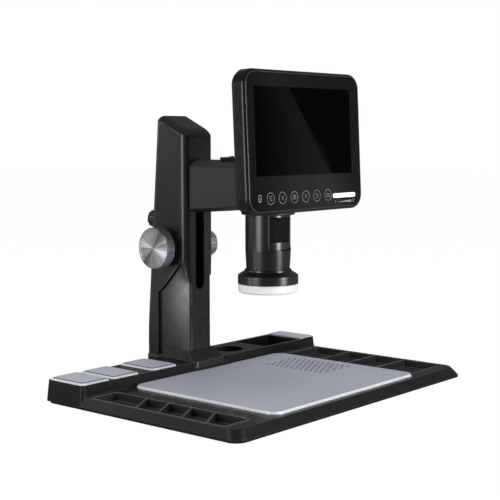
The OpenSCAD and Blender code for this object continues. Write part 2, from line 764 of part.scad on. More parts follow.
module carriage() {
    hw = cavity_hw - loose_gap;
    neck_hw = slot_w / 2 - loose_gap;
    color([0.3, 0.3, 0.32]) difference() {
        union() {
            translate([-hw, carriage_y0, carriage_z0]) cube([2 * hw, rack_back_y - carriage_y0, carriage_h]);
            translate([-5.6, rack_back_y - 5, rack_z0]) cube([11.2, 5, tail_z1 - rack_z0]);
            translate([-neck_hw, arm_y1, carriage_z0]) cube([2 * neck_hw, carriage_y0 - arm_y1 + 1, carriage_h]);
        }
        for (s = [-1, 1]) translate([s * rod_x, rod_y, carriage_z0 - 1])
            cylinder(d = rod_d + 2 * run_gap, h = carriage_h + 2, $fn = smooth);
        for (z = [7, carriage_h - 7]) translate([0, arm_y1 - 1, carriage_z0 + z]) rotate([-90, 0, 0])
            cylinder(d = 4, h = 11, $fn = 24);
    }
}

// Place of the leaning rear face at a height.
function rear_y_at(z) = rear_low_y + (rear_top_y - rear_low_y) * (z - column_z0) / (column_top - 12 - column_z0);

module lock_knob() {
    len = 12;
    color([0.1, 0.1, 0.1]) translate([lock_x, rear_y_at(lock_z) + lock_boss + 0.4, lock_z])
        rotate([-90, 0, 0]) difference() {
            union() {
                cylinder(d = 19, h = len, $fn = smooth);
                translate([0, 0, len - eps]) cylinder(d = 16, h = 1.2, $fn = smooth);
            }
            for (k = [0 : 11]) rotate(k * 30) translate([10.3, 0, 2]) cylinder(d = 3, h = len, $fn = 16);
            translate([0, 0, -1]) cylinder(d = lock_screw_d, h = 9, $fn = smooth);
        }
}

module lock_screw() {
    y0 = rack_back_y + 4.6;
    color("silver") translate([lock_x, y0, lock_z]) rotate([-90, 0, 0])
        cylinder(d = lock_screw_d, h = rear_y_at(lock_z) + lock_boss + 8 - y0, $fn = smooth);
}

module lock_pad() {
    color([0.75, 0.62, 0.3]) translate([lock_x, rack_back_y + 0.5, lock_z]) rotate([-90, 0, 0])
        cylinder(d = 4.4, h = 4, $fn = smooth);
}

// ---- head ----

// Part of a circle that stands over a straight edge of half-width hw.
module crown_2d(hw, rise) {
    r = (hw * hw + rise * rise) / (2 * rise);
    intersection() {
        translate([-hw, -1]) square([2 * hw, rise + 2]);
        translate([0, rise - r]) circle(r, $fn = 120);
    }
}

// Cross-section of the arm: flat sides, crowned top and bottom.
module arm_section(hw, h, crown, belly) {
    square([2 * hw, h], center = true);
    translate([0, h / 2]) crown_2d(hw, crown);
    translate([0, -h / 2]) mirror([0, 1]) crown_2d(hw, belly);
}

module arm_block(inset, y0, y1) {
    hull() {
        translate([0, 0, arm_z]) along_y(y1 - 1, y1)
            arm_section(arm_hw - inset, arm_rear_h - 2 * inset, arm_crown, arm_belly);
        translate([0, 0, arm_z + 3]) along_y(y0, y0 + 1)
            arm_section(arm_hw - inset, arm_front_h - 2 * inset, arm_crown, arm_belly);
    }
}

module arm_housing() {
    wall = 2.6;
    color([0.28, 0.28, 0.29]) difference() {
        union() {
            arm_block(0, barrel_y + 8, arm_y1);
            at_barrel() translate([0, 0, collar_z0]) cylinder(d = collar_d, h = collar_z1 - collar_z0, $fn = 64);
        }
        arm_block(wall, barrel_y + collar_d / 2, arm_y1 - 4);
        at_barrel() translate([0, 0, collar_z0 - 1]) cylinder(d = barrel_d + 2 * seat_gap, h = 100, $fn = 64);
        at_barrel() translate([0, 0, collar_z1]) cylinder(d = collar_d + 2 * seat_gap, h = 20, $fn = 64);
        // cable passage from the barrel into the arm
        translate([-6, barrel_y + 15, arm_z - 6]) cube([12, 20, 12]);
        for (z = [7, carriage_h - 7]) translate([0, arm_y1 - 5, carriage_z0 + z]) rotate([-90, 0, 0])
            cylinder(d = 4.4, h = 8, $fn = 24);
        for (y = bracket_screw_y) translate([0, y, arm_z]) cylinder(d = 2.9, h = 40, $fn = 24);
        // flat seat of the tilt bracket
        translate([-knuckle_hw, bracket_y0 - 0.2, bracket_seat - 0.1])
            cube([2 * knuckle_hw, bracket_y1 - bracket_y0 + 0.4, 9]);
    }
}

module arm_screws() {
    color("silver") for (z = [7, carriage_h - 7]) translate([0, arm_y1 - 6.4, carriage_z0 + z]) rotate([-90, 0, 0])
        screw_up(3.9, 15, 7, 2.4);
}

module barrel_housing() {
    z1 = collar_z1 - 2;
    color([0.14, 0.14, 0.15]) at_barrel() difference() {
        rotate_extrude($fn = 96) polygon([[bore_d / 2, barrel_z0], [barrel_d / 2 - 1, barrel_z0],
            [barrel_d / 2, barrel_z0 + 20], [barrel_d / 2, z1], [bore_d / 2, z1]]);
        along_y(-barrel_d, window_y)
            round_rect(-window_hw, window_z0, window_hw, window_z1 + 12, 5);
        translate([-6, 10, arm_z - 6]) cube([12, 20, 12]);
    }
}

module barrel_cap() {
    z0 = collar_z1 - 2;
    color([0.13, 0.13, 0.14]) at_barrel() {
        translate([0, 0, z0]) cylinder(d = barrel_d, h = 2, $fn = 64);
        translate([0, 0, z0 + 2]) cylinder(d = collar_d, h = 1.6, $fn = 64);
        tube(bore_d - 2 * seat_gap, bore_d - 4, z0 - 4, z0 + eps);
    }
}

// Fixed tube that carries the optics; the focus wheel turns round it.
module inner_tube() {
    color([0.2, 0.2, 0.21]) at_barrel() difference() {
        union() {
            tube(tube_d, tube_d - 2 * tube_wall, tube_z0, tube_z1);
            tube(bore_d - 2 * seat_gap, tube_d - 1, barrel_z0 + 0.5, barrel_z0 + 4);
            tube(bore_d - 2 * seat_gap, tube_d - 1, tube_z1 - 4, tube_z1);
        }
        // straight slot that guides the lens carrier's pin
        translate([0, 0, wheel_z0 + wheel_h / 2 - focus_travel - 2.4])
            translate([-1.7, 0, 0]) cube([3.4, tube_d, 2 * focus_travel + 4.8]);
    }
}

module retainer_rings() {
    color([0.24, 0.24, 0.25]) at_barrel() {
        tube(bore_d - 2 * seat_gap - 0.6, tube_d + 0.1, window_z0 + 0.4, wheel_z0 - loose_gap);
        tube(bore_d - 2 * seat_gap - 0.6, tube_d + 0.1, wheel_z0 + wheel_h + loose_gap, wheel_z0 + wheel_h + 7);
    }
}

module focus_wheel() {
    color([0.1, 0.1, 0.1]) at_barrel() translate([0, 0, wheel_z0]) rotate_extrude($fn = 96)
        polygon([[tube_d / 2 + run_gap, 0], [wheel_d / 2 - 0.8, 0], [wheel_d / 2, 0.8],
            [wheel_d / 2, wheel_h - 0.8], [wheel_d / 2 - 0.8, wheel_h], [tube_d / 2 + run_gap, wheel_h],
            [tube_d / 2 + run_gap, wheel_h / 2 + focus_travel + 2],
            [tube_d / 2 + 1.6, wheel_h / 2 + focus_travel + 2],
            [tube_d / 2 + 1.6, wheel_h / 2 - focus_travel - 2],
            [tube_d / 2 + run_gap, wheel_h / 2 - focus_travel - 2]]);
}

module lens_carrier() {
    r = tube_d / 2 - tube_wall - run_gap;
    pin_z = wheel_z0 + wheel_h / 2;
    color([0.16, 0.16, 0.17]) at_barrel() union() {
        rotate_extrude($fn = 64) polygon([[9, lens_z0 + focus_travel], [r, lens_z0 + focus_travel],
            [r, pin_z + 4], [r - 3, pin_z + 4], [r - 3, lens_z0 + focus_travel + 14],
            [11, lens_z0 + focus_travel + 14], [11, lens_z0 + focus_travel + 8],
            [9, lens_z0 + focus_travel + 8]]);
        translate([0, r - 1.5, pin_z]) rotate([-90, 0, 0]) cylinder(d = 3.2, h = tube_wall + 2.4, $fn = 24);
    }
}

// Lens with two convex faces, seated in the carrier.
module lens_body(d, edge, bulge, z) {
    r = (d * d / 4 + bulge * bulge) / (2 * bulge);
    at_barrel() translate([0, 0, z]) rotate_extrude($fn = smooth) intersection() {
        translate([0, -bulge]) square([d / 2, edge + 2 * bulge]);
        translate([0, r - bulge]) circle(r, $fn = 120);
        translate([0, edge + bulge - r]) circle(r, $fn = 120);
    }
}

module lens_front() { color([0.6, 0.7, 0.8, 0.4]) lens_body(18 - 0.04, 2.4, 1.4, lens_z0 + focus_travel + 2.5); }

module lens_rear() { color([0.6, 0.7, 0.8, 0.4]) lens_body(22 - 0.04, 2, 1.2, lens_z0 + focus_travel + 10.4); }

module sensor_board() {
    color([0.05, 0.3, 0.12]) at_barrel() union() {
        translate([0, 0, tube_z1]) cylinder(d = tube_d + 4, h = 1.6, $fn = smooth);
        translate([-5, -4, tube_z1 - 2]) cube([10, 8, 2 + eps]);
        translate([-9, 6, tube_z1 + 1.6 - eps]) cube([18, 5, 3]);
    }
}

module lamp_housing() {
    z1 = barrel_z0;
    r = lamp_d / 2;
    color([0.12, 0.12, 0.13]) at_barrel()
        rotate_extrude($fn = 96) polygon([[tube_d / 2 + 0.05, z1 - 3], [tube_d / 2 + 0.05, z1 + 0.5],
            [barrel_d / 2 - 1.9, z1 + 0.5], [barrel_d / 2 - 1.9, z1], [barrel_d / 2 + 0.6, z1],
            [barrel_d / 2 + 1, z1 - 1.6], [r - 0.6, z1 - 5.4], [r, z1 - 6], [r, lamp_rim_z], [r - 1.8, lamp_rim_z],
            [r - 1.8, lamp_rim_z + 4.2], [barrel_d / 2, z1 - 4.5], [tube_d / 2 + 2, z1 - 4.5],
            [tube_d / 2 + 2, z1 - 3]]);
}

module lamp_board() {
    r = lamp_d / 2 - 2.2;
    z = lamp_rim_z + 2.4;
    color([0.92, 0.92, 0.9]) at_barrel() union() {
        tube(2 * r, tube_d + 0.3, z, z + 1.6);
        for (k = [0 : lamp_n - 1]) rotate(k * 360 / lamp_n) translate([(r + tube_d / 2) / 2, 0, z - 1.6])
            translate([-1.8, -1.8, 0]) cube([3.6, 3.6, 1.6 + eps]);
    }
}

// Milky ring under the lamps, open in the middle for the light path.
module lamp_diffuser() {
    r = lamp_d / 2 - 0.4;
    z0 = diffuser_z0;
    z1 = lamp_rim_z;
    color([0.95, 0.95, 0.95]) at_barrel() rotate_extrude($fn = 96) polygon([[14, z0], [r - 2, z0],
        [r - 0.6, z0 + 0.7], [r, z0 + 2.2], [r, z1 - 0.1], [r - 1.6, z1 - 0.1], [r - 1.6, z1 + 0.6],
        [r - 3.4, z1 + 0.6], [r - 3.4, z0 + 2.2], [16, z0 + 2.2], [16, z1 + 0.6], [14, z1 + 0.6]]);
}

// Steel strip that lies on the arm and ends in the eye of the tilt hinge.
module tilt_bracket() {
    z0 = bracket_z0;
    w = 2 * knuckle_hw - 0.6;
    color([0.1, 0.1, 0.11]) difference() {
        union() {
            translate([-w / 2, hinge_y, z0]) cube([w, bracket_y1 - hinge_y, bracket_t]);
            translate([-w / 2, bracket_y0, bracket_seat]) cube([w, bracket_y1 - bracket_y0, z0 - bracket_seat + eps]);
            translate([0, hinge_y, hinge_z]) rotate([0, 90, 0])
                cylinder(d = knuckle_d, h = 2 * knuckle_hw - 0.6, center = true, $fn = smooth);
            translate([-w / 2, hinge_y - 1.5, z0]) cube([w, 5.8, hinge_z - z0]);
        }
        translate([0, hinge_y, hinge_z]) rotate([0, 90, 0])
            cylinder(d = pin_d, h = 40, center = true, $fn = smooth);
        for (y = bracket_screw_y) translate([0, y, bracket_seat - 1]) cylinder(d = 3.2, h = 8, $fn = 24);
    }
}

module bracket_screws() {
    head_h = 1.2;
    color("silver") for (y = bracket_screw_y) translate([0, y, bracket_z0 + bracket_t + head_h])
        rotate([180, 0, 0]) screw_up(2.9, 9, 5.6, head_h);
}

module tilt_pin() {
    color("silver") translate([0, hinge_y, hinge_z]) rotate([0, 90, 0])
        cylinder(d = pin_d, h = 2 * (knuckle_hw + leaf_ear), center = true, $fn = smooth);
}

// ---- display (drawn in the panel's own frame: X right, Z up, front glass at Y = 0) ----

module panel_slab(grow, r, y0, y1) {
    along_y(y0, y1) round_rect(glass_dx - glass_w / 2 - grow, glass_dz - glass_h / 2 - grow,
        glass_dx + glass_w / 2 + grow, glass_dz + glass_h / 2 + grow, r);
}

// A corner of the frame: a disc with a rounded front edge.
module frame_corner(x, z, r, soft, y0, y1) {
    translate([x, y1, z]) rotate([90, 0, 0]) rotate_extrude($fn = 32) union() {
        square([r - soft, y1 - y0]);
        square([r, y1 - y0 - soft]);
        translate([r - soft, y1 - y0 - soft]) circle(soft, $fn = 20);
    }
}

module frame_form(soft, y0, y1) {
    hull() for (sx = [-1, 1], sz = [-1, 1])
        frame_corner(glass_dx + sx * (frame_w / 2 - frame_r), glass_dz + sz * (frame_h / 2 - frame_r),
                     frame_r, soft, y0, y1);
}

// Screw posts in the four corners that hold the rear shell.
module corner_posts(d, y0, y1) {
    for (x = [-1, 1], z = [-1, 1])
        translate([glass_dx + x * (glass_w / 2 - 7.7), y1, glass_dz + z * (glass_h / 2 - 7.9)])
            rotate([90, 0, 0]) cylinder(d = d, h = y1 - y0, $fn = 24);
}

module display_frame() {
    soft = 4.2;
    color([0.12, 0.12, 0.13]) on_panel() difference() {
        frame_form(soft, -0.4, frame_depth);
        panel_slab(0.15, glass_r, -5, glass_t);
        difference() {
            panel_slab(-2.4, glass_r - 2.4, glass_t - 1, frame_depth + 1);
            corner_posts(11, 6.5, frame_depth);
        }
        corner_posts(shell_screw_d + seat_gap, 7.5, frame_depth + 1);
        // card and cable sockets in the right side
        for (p = [[12, 10, 3.4], [-8, 12, 3.8], [-30, 9, 3.4]])
            translate([glass_dx + glass_w / 2 - 3, 6, p[0]]) cube([bezel + 6, p[2], p[1]]);
    }
}

module display_rear_shell() {
    y0 = frame_depth;
    y1 = y0 + shell_depth;
    wall = 2.2;
    color([0.11, 0.11, 0.12]) on_panel() difference() {
        hull() {
            panel_slab(bezel - 0.6, frame_r - 0.6, y0, y0 + 1);
            panel_slab(bezel - 2, frame_r - 2, y1 - 2.5, y1 - 2);
            panel_slab(bezel - 5.5, frame_r - 4, y1 - 0.2, y1);
        }
        difference() {
            panel_slab(-3.4, glass_r - 3.4, y0 - 1, y1 - wall);
            corner_posts(9, y0, y1);
        }
        corner_posts(shell_screw_d + 2 * seat_gap, y0 - 1, y1 + 1);
        // ventilation slots
        for (k = [0 : 9]) translate([glass_dx - 60 + k * 5, y1 - 4, glass_dz + 22]) cube([2.2, 8, 22]);
        for (x = [-14, 14], z = [-7, 7]) translate([x, y1 + 1, leaf_z() + z]) rotate([90, 0, 0])
            cylinder(d = 2.6, h = 8, $fn = 24);
    }
}

function leaf_z() = hinge_z - screen_z;

module display_glass() {
    color([0.03, 0.03, 0.04]) on_panel() panel_slab(0, glass_r, 0, glass_t - 0.05);
}

module lcd_panel() {
    color([0.08, 0.08, 0.1]) on_panel() translate([-lcd_w / 2, glass_t + 0.05, lcd_z0])
        cube([lcd_w, 4, lcd_h]);
}

module display_board() {
    color([0.05, 0.28, 0.12]) on_panel() union() {
        translate([board_x0, board_y, board_z0]) cube([board_w, 1.6, board_h]);
        // chips: place on the board, then width, height and thickness
        for (p = [[30, 30, 16, 16, 2], [70, 45, 12, 12, 1.6], [48, 64, 20, 8, 3], [90, 10, 14, 10, 4]])
            translate([board_x0 + p[0], board_y + 1.6 - eps, board_z0 + p[1]]) cube([p[2], p[4], p[3]]);
        // posts that stand on the back of the LCD panel
        for (x = [10, board_w - 10], z = [6, board_h - 6])
            translate([board_x0 + x, board_y + eps, board_z0 + z]) rotate([90, 0, 0])
                cylinder(d = 5, h = board_y - glass_t - 4.1 + eps, $fn = 24);
    }
}

module touch_board() {
    color([0.05, 0.28, 0.12]) on_panel() translate([glass_dx - glass_w / 2 + 31.5, glass_t + 0.05,
                                                     glass_dz - glass_h / 2 + 9]) cube([glass_w - 48.4, 1.2, 11]);
}

module hinge_leaf() {
    y0 = display_depth;
    color([0.1, 0.1, 0.11]) difference() {
        union() {
            on_panel() translate([-20, y0, leaf_z() - 12]) cube([40, 1.6, 24]);
            for (s = [-1, 1]) translate([s * (knuckle_hw + leaf_ear / 2), 0, 0]) {
                translate([0, hinge_y, hinge_z]) rotate([0, 90, 0])
                    cylinder(d = knuckle_d, h = leaf_ear, center = true, $fn = smooth);
                translate([-leaf_ear / 2, hinge_y - 8, hinge_z - 3]) cube([leaf_ear, 8, 6]);
            }
        }
        on_panel() translate([-50, y0 - 10, leaf_z() - 30]) cube([100, 10, 60]);
        translate([0, hinge_y, hinge_z]) rotate([0, 90, 0])
            cylinder(d = pin_d + 2 * run_gap, h = 60, center = true, $fn = smooth);
        on_panel() for (x = [-14, 14], z = [-7, 7]) translate([x, y0 + 3, leaf_z() + z]) rotate([90, 0, 0])
            cylinder(d = 2.8, h = 8, $fn = 24);
    }
}

module display_screws() {
    y1 = display_depth;
    color("silver") on_panel() {
        corner_posts(shell_screw_d, y1 - 9, y1 + 0.1);
        corner_posts(5, y1, y1 + 0.8);
        for (x = [-14, 14], z = [-7, 7]) translate([x, y1 + 2.4, leaf_z() + z]) rotate([90, 0, 0])
            screw_up(2.4, 5, 4.6, 0.8);
    }
}

base_shell();
bottom_cover();
rubber_feet();
base_screws();
left_parts_tray();
right_parts_tray();
stage_plate();
end_cover_plate();
column_foot();
column_bolts();
column_body();
side_cover_left();
side_cover_right();
guide_rods();
shaft_bushes();
storage_lid_1();
storage_lid_2();
storage_lid_3();
pinion_shaft();
pinion();
knob_left();
knob_right();
lock_knob();
lock_screw();
lock_pad();
carriage();
rack();
arm_housing();
arm_screws();
barrel_housing();
barrel_cap();
inner_tube();
retainer_rings();
sensor_board();
lamp_housing();
lamp_board();
lamp_diffuser();
tilt_bracket();
tilt_pin();
bracket_screws();
focus_wheel();
lens_carrier();
lens_front();
lens_rear();
display_frame();
display_rear_shell();
display_glass();
lcd_panel();
display_board();
touch_board();
hinge_leaf();
display_screws();
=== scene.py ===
import math

import bmesh
import bpy
from mathutils import Matrix, Vector
from mathutils.bvhtree import BVHTree


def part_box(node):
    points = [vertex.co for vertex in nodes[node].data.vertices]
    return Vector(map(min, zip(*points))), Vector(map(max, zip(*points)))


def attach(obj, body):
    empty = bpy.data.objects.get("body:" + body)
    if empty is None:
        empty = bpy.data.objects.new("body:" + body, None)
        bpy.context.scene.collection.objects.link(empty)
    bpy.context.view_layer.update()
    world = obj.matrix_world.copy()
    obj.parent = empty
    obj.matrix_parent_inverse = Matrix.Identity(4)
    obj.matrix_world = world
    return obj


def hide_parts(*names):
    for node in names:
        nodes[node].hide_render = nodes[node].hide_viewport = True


bl_info = {
    "name": "LCD digital microscope finishes",
    "version": (1, 0, 0),
    "blender": (4, 5, 0),
    "location": "View3D > Sidebar > Microscope",
    "description": "Dresses the bench microscope with its finishes, touch keys and screws",
    "category": "Add Mesh",
}

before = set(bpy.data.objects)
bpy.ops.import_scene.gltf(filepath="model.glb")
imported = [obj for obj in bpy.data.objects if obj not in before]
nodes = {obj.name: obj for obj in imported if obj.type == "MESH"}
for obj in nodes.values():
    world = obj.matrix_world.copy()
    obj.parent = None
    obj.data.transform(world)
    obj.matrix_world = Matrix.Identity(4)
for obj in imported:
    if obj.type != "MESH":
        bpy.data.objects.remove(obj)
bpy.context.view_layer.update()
MM = 0.001
# height of the deck round the trays
TRAY_HEIGHT = 12 * MM
# depth and height of the roof along the column's middle, from the rounded front corner to the rear edge
ROOF_LINE = [
    (y * MM, z * MM)
    for y, z in (
        (89.05, 259.5), (89.3, 262.0), (90.0, 264.8), (91.0, 266.8), (92.2, 268.4),
        (93.6, 269.8), (95.4, 271.2), (97.5, 272.4), (100.0, 273.6), (103.0, 275.0),
        (107.0, 276.9), (111.0, 278.8), (115.0, 280.7), (119.0, 282.6), (124.0, 285.0),
    )
]
# between these heights the column's top begins to follow the roof
CROWN_RISE = (236 * MM, 252 * MM)
# printed layers stand this far off the glass, this thick, and their lines are this wide
PRINT_GAP = 0.02 * MM
PRINT_THICK = 0.03 * MM
PRINT_LINE = 0.32 * MM
# the picture area sits left of and above the centre of the glass
PICTURE_CENTRE = (-2.7 * MM, 10.3 * MM)
# where the first touch key stands across the glass, from its centre
FIRST_KEY = -60 * MM
# the signs in the touch keys, as strokes through points, in tenths of the key's width
KEY_SIGNS = (
    # three list bars with a dot before each
    [[(left, z), (right, z)] for left, right in ((-0.6, 1.9), (-1.9, -1.5)) for z in (1.6, 0, -1.6)],
    # pointer to the left
    [[(0.9, 1.7), (-0.9, 0), (0.9, -1.7)]],
    # picture frame with a play mark
    [[(-1.9, 1.4), (1.9, 1.4), (1.9, -1.4), (-1.9, -1.4), (-1.9, 1.4)],
     [(-0.4, 0.6), (0.7, 0), (-0.4, -0.6)]],
    # pointer to the right
    [[(-0.9, 1.7), (0.9, 0), (-0.9, -1.7)]],
    # turn back
    [[(-1.5, -1.4), (1.2, -1.4), (1.2, 1.3), (-1.2, 1.3)], [(-0.4, 2.1), (-1.3, 1.3), (-0.4, 0.5)]],
    # camera body with its lens
    [[(-1.8, 1.1), (1.8, 1.1), (1.8, -1.4), (-1.8, -1.4), (-1.8, 1.1)], [(-0.5, 1.6), (0.5, 1.6)],
     [(-0.4, -0.5), (-0.4, 0.3), (0.4, 0.3), (0.4, -0.5), (-0.4, -0.5)]],
)
WHITE = (1.0, 1.0, 1.0, 1.0)
# how bright the room is in reflections, and how bright it lights the surfaces
ROOM_GLOW = 0.15
ROOM_LIGHT = 0.12
# how far the paper's own shading gives way: to plain white for the camera, to the room's glow in reflections
PAPER_WHITE = 0.985
PAPER_DIM = 0.97
# half the floor's width
FLOOR_REACH = 6
# a card whose reflection slants across the unlit screen, and where along X its light grows from none to full;
# it hangs in front of the display, to its right
CARD_CORNERS = ((0.70, -0.93, 0.62), (1.09, -1.0, 0.60), (1.40, -1.0, 0.16), (0.70, -0.93, 0.16))
CARD_FADE = (0.95, 1.3)
# each lamp's name, place, aim, width and height, and power
LAMPS = (
    ("key_left", (-1.7, 0.5, 1.5), (0.0, 0.0, 0.12), (1.2, 1.2), 16.0),
    ("top", (0.1, -0.2, 2.2), (0.0, 0.0, 0.0), (2.8, 2.8), 74.0),
    ("wash_left", (-0.70, 0.86, 0.33), (0.0, 0.0, 0.2), (0.5, 0.5), 0.6),
    ("strip_low", (-0.293, 0.232, 0.07), (-0.018, 0.11, 0.07), (0.15, 0.07), 0.016),
    ("glint", (-0.66, 0.84, 0.36), (0.0, 0.12, 0.14), (0.1, 0.1), 0.2),
    ("wash_right", (0.86, -0.72, 0.07), (0.0, 0.0, 0.1), (0.6, 0.12), 0.13),
    ("strip_left", (-1.02, 0.14, 0.3), (0.0, 0.0, 0.2), (0.4, 0.58), 4.4),
    ("strip_front", (0.18, -1.02, 0.28), (0.0, 0.0, 0.2), (0.32, 0.54), 10.0),
    ("back", (0.6, 2.2, 1.2), (0.0, 0.0, 0.15), (1.4, 1.0), 5.0),
)
# the lamps that only fill stay out of the highlights, which come from the washes and strips
FILL_LAMPS = ("key_left", "top", "back")


# ---- sizes and colours that a user would change ----


def hex_colour(name, description, default):
    """A colour that is set as sRGB hex."""
    return bpy.props.StringProperty(name=name, description=description + ", sRGB hex", default=default)


def length(name, description, default, **limits):
    """A length that is shown in the scene's own unit."""
    return bpy.props.FloatProperty(
        name=name, description=description, default=default, unit="LENGTH", **limits
    )


class BaseSettings(bpy.types.PropertyGroup):
    shell_colour: hex_colour("Shell colour", "Moulded base and trays", "#131314")
    plate_colour: hex_colour("Plate colour", "Silver paint of the stage plate", "#A0A3AD")
    lid_colour: hex_colour("Lid colour", "Silver paint of the storage lids", "#AEB0B9")
    grain: length("Moulding grain", "Size of the spark-eroded grain", 1.4 * MM, min=0.0)


class ColumnSettings(bpy.types.PropertyGroup):
    column_colour: hex_colour("Column colour", "Satin moulded column", "#141415")
    cover_colour: hex_colour("Side cover colour", "Side covers of the column", "#121213")
    knob_colour: hex_colour("Knob colour", "Turned aluminium of the focus knobs", "#DCDDE0")


class HeadSettings(bpy.types.PropertyGroup):
    arm_colour: hex_colour("Arm colour", "Powder coat of the arm", "#222224")
    barrel_colour: hex_colour("Barrel colour", "Anodised barrel and lamp ring", "#0C0C0D")
    diffuser_colour: hex_colour("Diffuser colour", "Milky acrylic under the lamps", "#C6C6C4")


class DisplaySettings(bpy.types.PropertyGroup):
    housing_colour: hex_colour("Housing colour", "Glossy moulded display housing", "#0B0B0C")
    glass_colour: hex_colour("Glass border colour", "Printed border behind the cover glass", "#0A0A0B")
    screen_width: length("Picture width", "Visible width of the screen", 154.2 * MM)
    screen_height: length("Picture height", "Visible height of the screen", 85.9 * MM)
    key_size: length("Touch key size", "Diameter of the ring round a touch key", 11.6 * MM)
    key_pitch: length("Touch key pitch", "Distance from one touch key to the next", 18.4 * MM)
    key_height: length("Touch key height", "Height of the key row from the glass centre", -54.2 * MM)


class StageSettings(bpy.types.PropertyGroup):
    lens: bpy.props.FloatProperty(
        name="Focal length", description="Focal length of the camera in millimetres", default=83.64, min=20.0
    )
    camera_place: bpy.props.FloatVectorProperty(
        name="Camera place", description="Where the camera stands", subtype="TRANSLATION", size=3,
        default=(-0.91874, -0.76224, 0.26373),
    )
    camera_turn: bpy.props.FloatVectorProperty(
        name="Camera turn", description="Heading from straight back, downward pitch and roll", size=3,
        subtype="EULER", default=(math.radians(49.66), math.radians(5.63), math.radians(-0.08)),
    )
    lamp_power: bpy.props.FloatProperty(
        name="Lamp power", description="Factor on all the lamps", default=1.0, min=0.0
    )


def settings(name):
    """The scene's values for one group of settings."""
    return getattr(bpy.context.scene, "microscope_" + name)


# ---- shader nodes ----


def linear(colour):
    """Turns an sRGB hex colour such as #A2A4AD into the linear colour that a socket takes."""
    parts = [int(colour[k : k + 2], 16) / 255 for k in (1, 3, 5)]
    return [c / 12.92 if c <= 0.04045 else ((c + 0.055) / 1.055) ** 2.4 for c in parts] + [1.0]


def shade(colour, factor):
    """A linear colour made darker or lighter."""
    return [c * factor for c in colour[:3]] + [1.0]


def empty_tree(owner):
    """The node tree of a material or a world, cleared."""
    owner.use_nodes = True
    owner.node_tree.nodes.clear()
    return owner.node_tree


def add_node(tree, kind, inputs=None, **attributes):
    """Adds a node, sets its attributes, and fills or links its inputs."""
    made = tree.nodes.new(kind)
    for key, value in attributes.items():
        setattr(made, key, value)
    for key, value in (inputs or {}).items():
        if isinstance(value, bpy.types.NodeSocket):
            tree.links.new(value, made.inputs[key])
        else:
            made.inputs[key].default_value = value
    return made


def new_material(name, **values):
    """A material with one Principled BSDF, whose uniform values are set on its own sockets."""
    made = bpy.data.materials.new(name)
    tree = empty_tree(made)
    shader = add_node(tree, "ShaderNodeBsdfPrincipled")
    for key, value in values.items():
        shader.inputs[key.replace("_", " ")].default_value = value
    add_node(tree, "ShaderNodeOutputMaterial", {"Surface": shader.outputs["BSDF"]})
    return made, tree, shader


def wire(tree, shader, **sockets):
    """Links sockets to the shader's inputs, which are named with _ for each space."""
    for key, socket in sockets.items():
        tree.links.new(socket, shader.inputs[key.replace("_", " ")])


def math_node(tree, operation, *values, **attributes):
    """One step of arithmetic on numbers and other nodes' outputs."""
    made = add_node(tree, "ShaderNodeMath", dict(enumerate(values)), operation=operation, **attributes)
    return made.outputs["Value"]


def vector_node(tree, operation, *vectors):
    """One step on vectors; a length or a dot product comes out as a number."""
    made = add_node(tree, "ShaderNodeVectorMath", dict(enumerate(vectors)), operation=operation)
    return made.outputs["Value" if operation in ("LENGTH", "DOT_PRODUCT") else "Vector"]


def split(tree, vector):
    """The X, Y and Z of a vector."""
    return add_node(tree, "ShaderNodeSeparateXYZ", {"Vector": vector}).outputs


def remap(tree, value, low, high, new_low=0.0, new_high=1.0):
    """Brings a value from one range to another, held at both ends."""
    return add_node(
        tree, "ShaderNodeMapRange",
        {"Value": value, "From Min": low, "From Max": high, "To Min": new_low, "To Max": new_high},
    ).outputs["Result"]


def tint(tree, factor, dark, light):
    """Blends from one colour to another; either may be a colour or another node's output."""
    return add_node(tree, "ShaderNodeMix", {0: factor, 6: dark, 7: light}, data_type="RGBA").outputs[2]


def surface_place(tree):
    """Where a point of the surface lies, in its piece's own coordinates: the shared frame's while at rest."""
    return add_node(tree, "ShaderNodeTexCoord").outputs["Object"]


def true_normal(tree):
    """The direction that the surface faces before any rounding or bump."""
    return add_node(tree, "ShaderNodeNewGeometry").outputs["True Normal"]


def noise(tree, place, size, detail):
    """Noise with patches of the given size in metres."""
    return add_node(
        tree, "ShaderNodeTexNoise", {"Vector": place, "Scale": 1 / size, "Detail": detail}
    ).outputs["Fac"]


def noise_along(tree, number, size, detail, roughness=0.5):
    """Noise that changes along one number only, with steps of the given size."""
    return add_node(
        tree, "ShaderNodeTexNoise",
        {"W": number, "Scale": 1 / size, "Detail": detail, "Roughness": roughness},
        noise_dimensions="1D",
    ).outputs["Fac"]


def spread(tree, noisy, low, high):
    """Brings noise, which lies mostly between 0.3 and 0.7, to a range of its own."""
    return remap(tree, noisy, 0.3, 0.7, low, high)


def vary(tree, place, size, low, high):
    """A slow variation between two values, with patches of the given size in metres."""
    return spread(tree, noise(tree, place, size, 3.0), low, high)


def mottle(tree, place, base, size, dark, light):
    """A colour with slow patches a little darker and lighter than it, by the two factors."""
    return tint(tree, vary(tree, place, size, 0.0, 1.0), shade(base, dark), shade(base, light))


def bump(tree, height, strength, distance, normal):
    """Normals that follow a height, on top of other normals."""
    return add_node(
        tree, "ShaderNodeBump",
        {"Height": height, "Strength": strength, "Distance": distance, "Normal": normal},
    ).outputs["Normal"]


def soft_edges(tree, radius):
    """Normals that round each sharp edge by a small radius, as a mould or a deburring wheel leaves it."""
    return add_node(tree, "ShaderNodeBevel", {"Radius": radius}, samples=14).outputs["Normal"]


def edge_share(tree, rounded):
    """From 0 on a flat face to 1 on an edge, where a painted highlight lightens the colour."""
    return remap(tree, vector_node(tree, "DOT_PRODUCT", rounded, true_normal(tree)), 1.0, 0.6)


